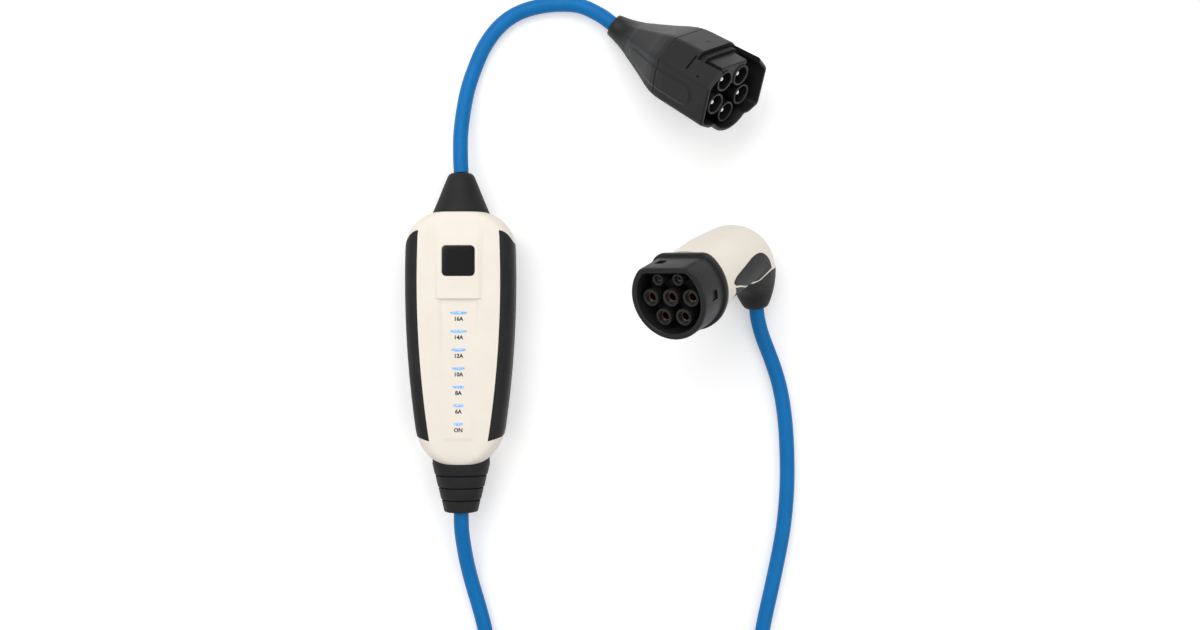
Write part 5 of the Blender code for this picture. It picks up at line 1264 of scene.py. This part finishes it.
# %% Finishes of the CAD nodes that stay
board_green = finish("solder_mask", (0.02, 0.14, 0.06), 0.35, drift=0.2, coat=0.3)
case_black = finish("relay_case", (0.02, 0.02, 0.024), 0.45, drift=0.1)
ferrite = finish("potted_core", (0.09, 0.09, 0.10), 0.7, grain=0.6 * MM, depth=0.05 * MM, drift=0.2)
terminal_grey = finish("terminal_block", (0.28, 0.30, 0.29), 0.5, drift=0.05)
KEPT = {
    board_green: ["circuit_board"],
    case_black: ["relay_1", "relay_2"],
    ferrite: ["power_supply", "current_sensor"],
    terminal_grey: ["supply_terminal", "vehicle_terminal"],
    charcoal: ["supply_clamp", "vehicle_clamp"],
    soft_black: ["left_seal", "right_seal"],
    zinc: [f"cover_screw_{k}" for k in range(1, 7)],
}
for material, names in KEPT.items():
    for name in names:
        nodes[name].data.materials.clear()
        nodes[name].data.materials.append(material)

# %% [markdown]

# %% [markdown]
# The floor is a pale matte sheet. A camera, glossy or transmitted ray sees it a little
# brighter by a plain glow, so the background is white and the object's soft shadow stays;
# every other ray sees only its own colour. Three large soft lamps and an even sky light the
# object from above, at a level where a colour renders about as it is written.

# %% Floor, backdrop and light
FLOOR_HALF, FLOOR_DROP, FLOOR_GLOW = 4.0, 0.2 * MM, 0.36
WORLD_LIGHT = 0.52
KEY_POWER, FILL_POWER, TOP_POWER = 10.5, 5.5, 3.5
LAMPS_AIM = (0.11, 0.02, 0.0)

floor_corners = [(x * FLOOR_HALF, y * FLOOR_HALF, -FLOOR_DROP)
                 for x, y in ((-1, -1), (1, -1), (1, 1), (-1, 1))]
floor_mesh = bpy.data.meshes.new("floor")
floor_mesh.from_pydata(floor_corners, [], [(0, 1, 2, 3)])
floor = linked("floor", floor_mesh)
floor_material, floor_tree, floor_shader = new_material("pale_floor")
rays = floor_tree.nodes.new("ShaderNodeLightPath").outputs
seen_or_mirrored = math_node(floor_tree, "MAXIMUM", rays["Is Camera Ray"], rays["Is Glossy Ray"])
seen_at_all = math_node(floor_tree, "MAXIMUM", seen_or_mirrored, rays["Is Transmission Ray"])
feed(floor_tree, floor_shader, {
    "Base Color": (0.80, 0.80, 0.80, 1), "Roughness": 0.9, "Specular IOR Level": 0.1,
    "Emission Color": (1, 1, 1, 1),
    "Emission Strength": math_node(floor_tree, "MULTIPLY", seen_at_all, FLOOR_GLOW)})
floor_mesh.materials.append(floor_material)

world = bpy.data.worlds.new("studio")
bpy.context.scene.world = world
world.use_nodes = True
feed(world.node_tree, world.node_tree.nodes["Background"], {"Color": (1, 1, 1, 1), "Strength": WORLD_LIGHT})


def soft_lamp(name, place, size, power):
    """A square area lamp that faces the object."""
    data = bpy.data.lights.new(name, "AREA")
    data.size = size
    data.energy = power
    lamp = linked(name, data)
    lamp.location = place
    lamp.rotation_euler = (Vector(LAMPS_AIM) - Vector(place)).to_track_quat("-Z", "Y").to_euler()


soft_lamp("key_lamp", (-0.7, 0.6, 1.6), 1.2, KEY_POWER)
soft_lamp("fill_lamp", (1.0, -0.3, 1.5), 1.4, FILL_POWER)
soft_lamp("top_lamp", (0.1, 0.9, 1.0), 0.8, TOP_POWER)
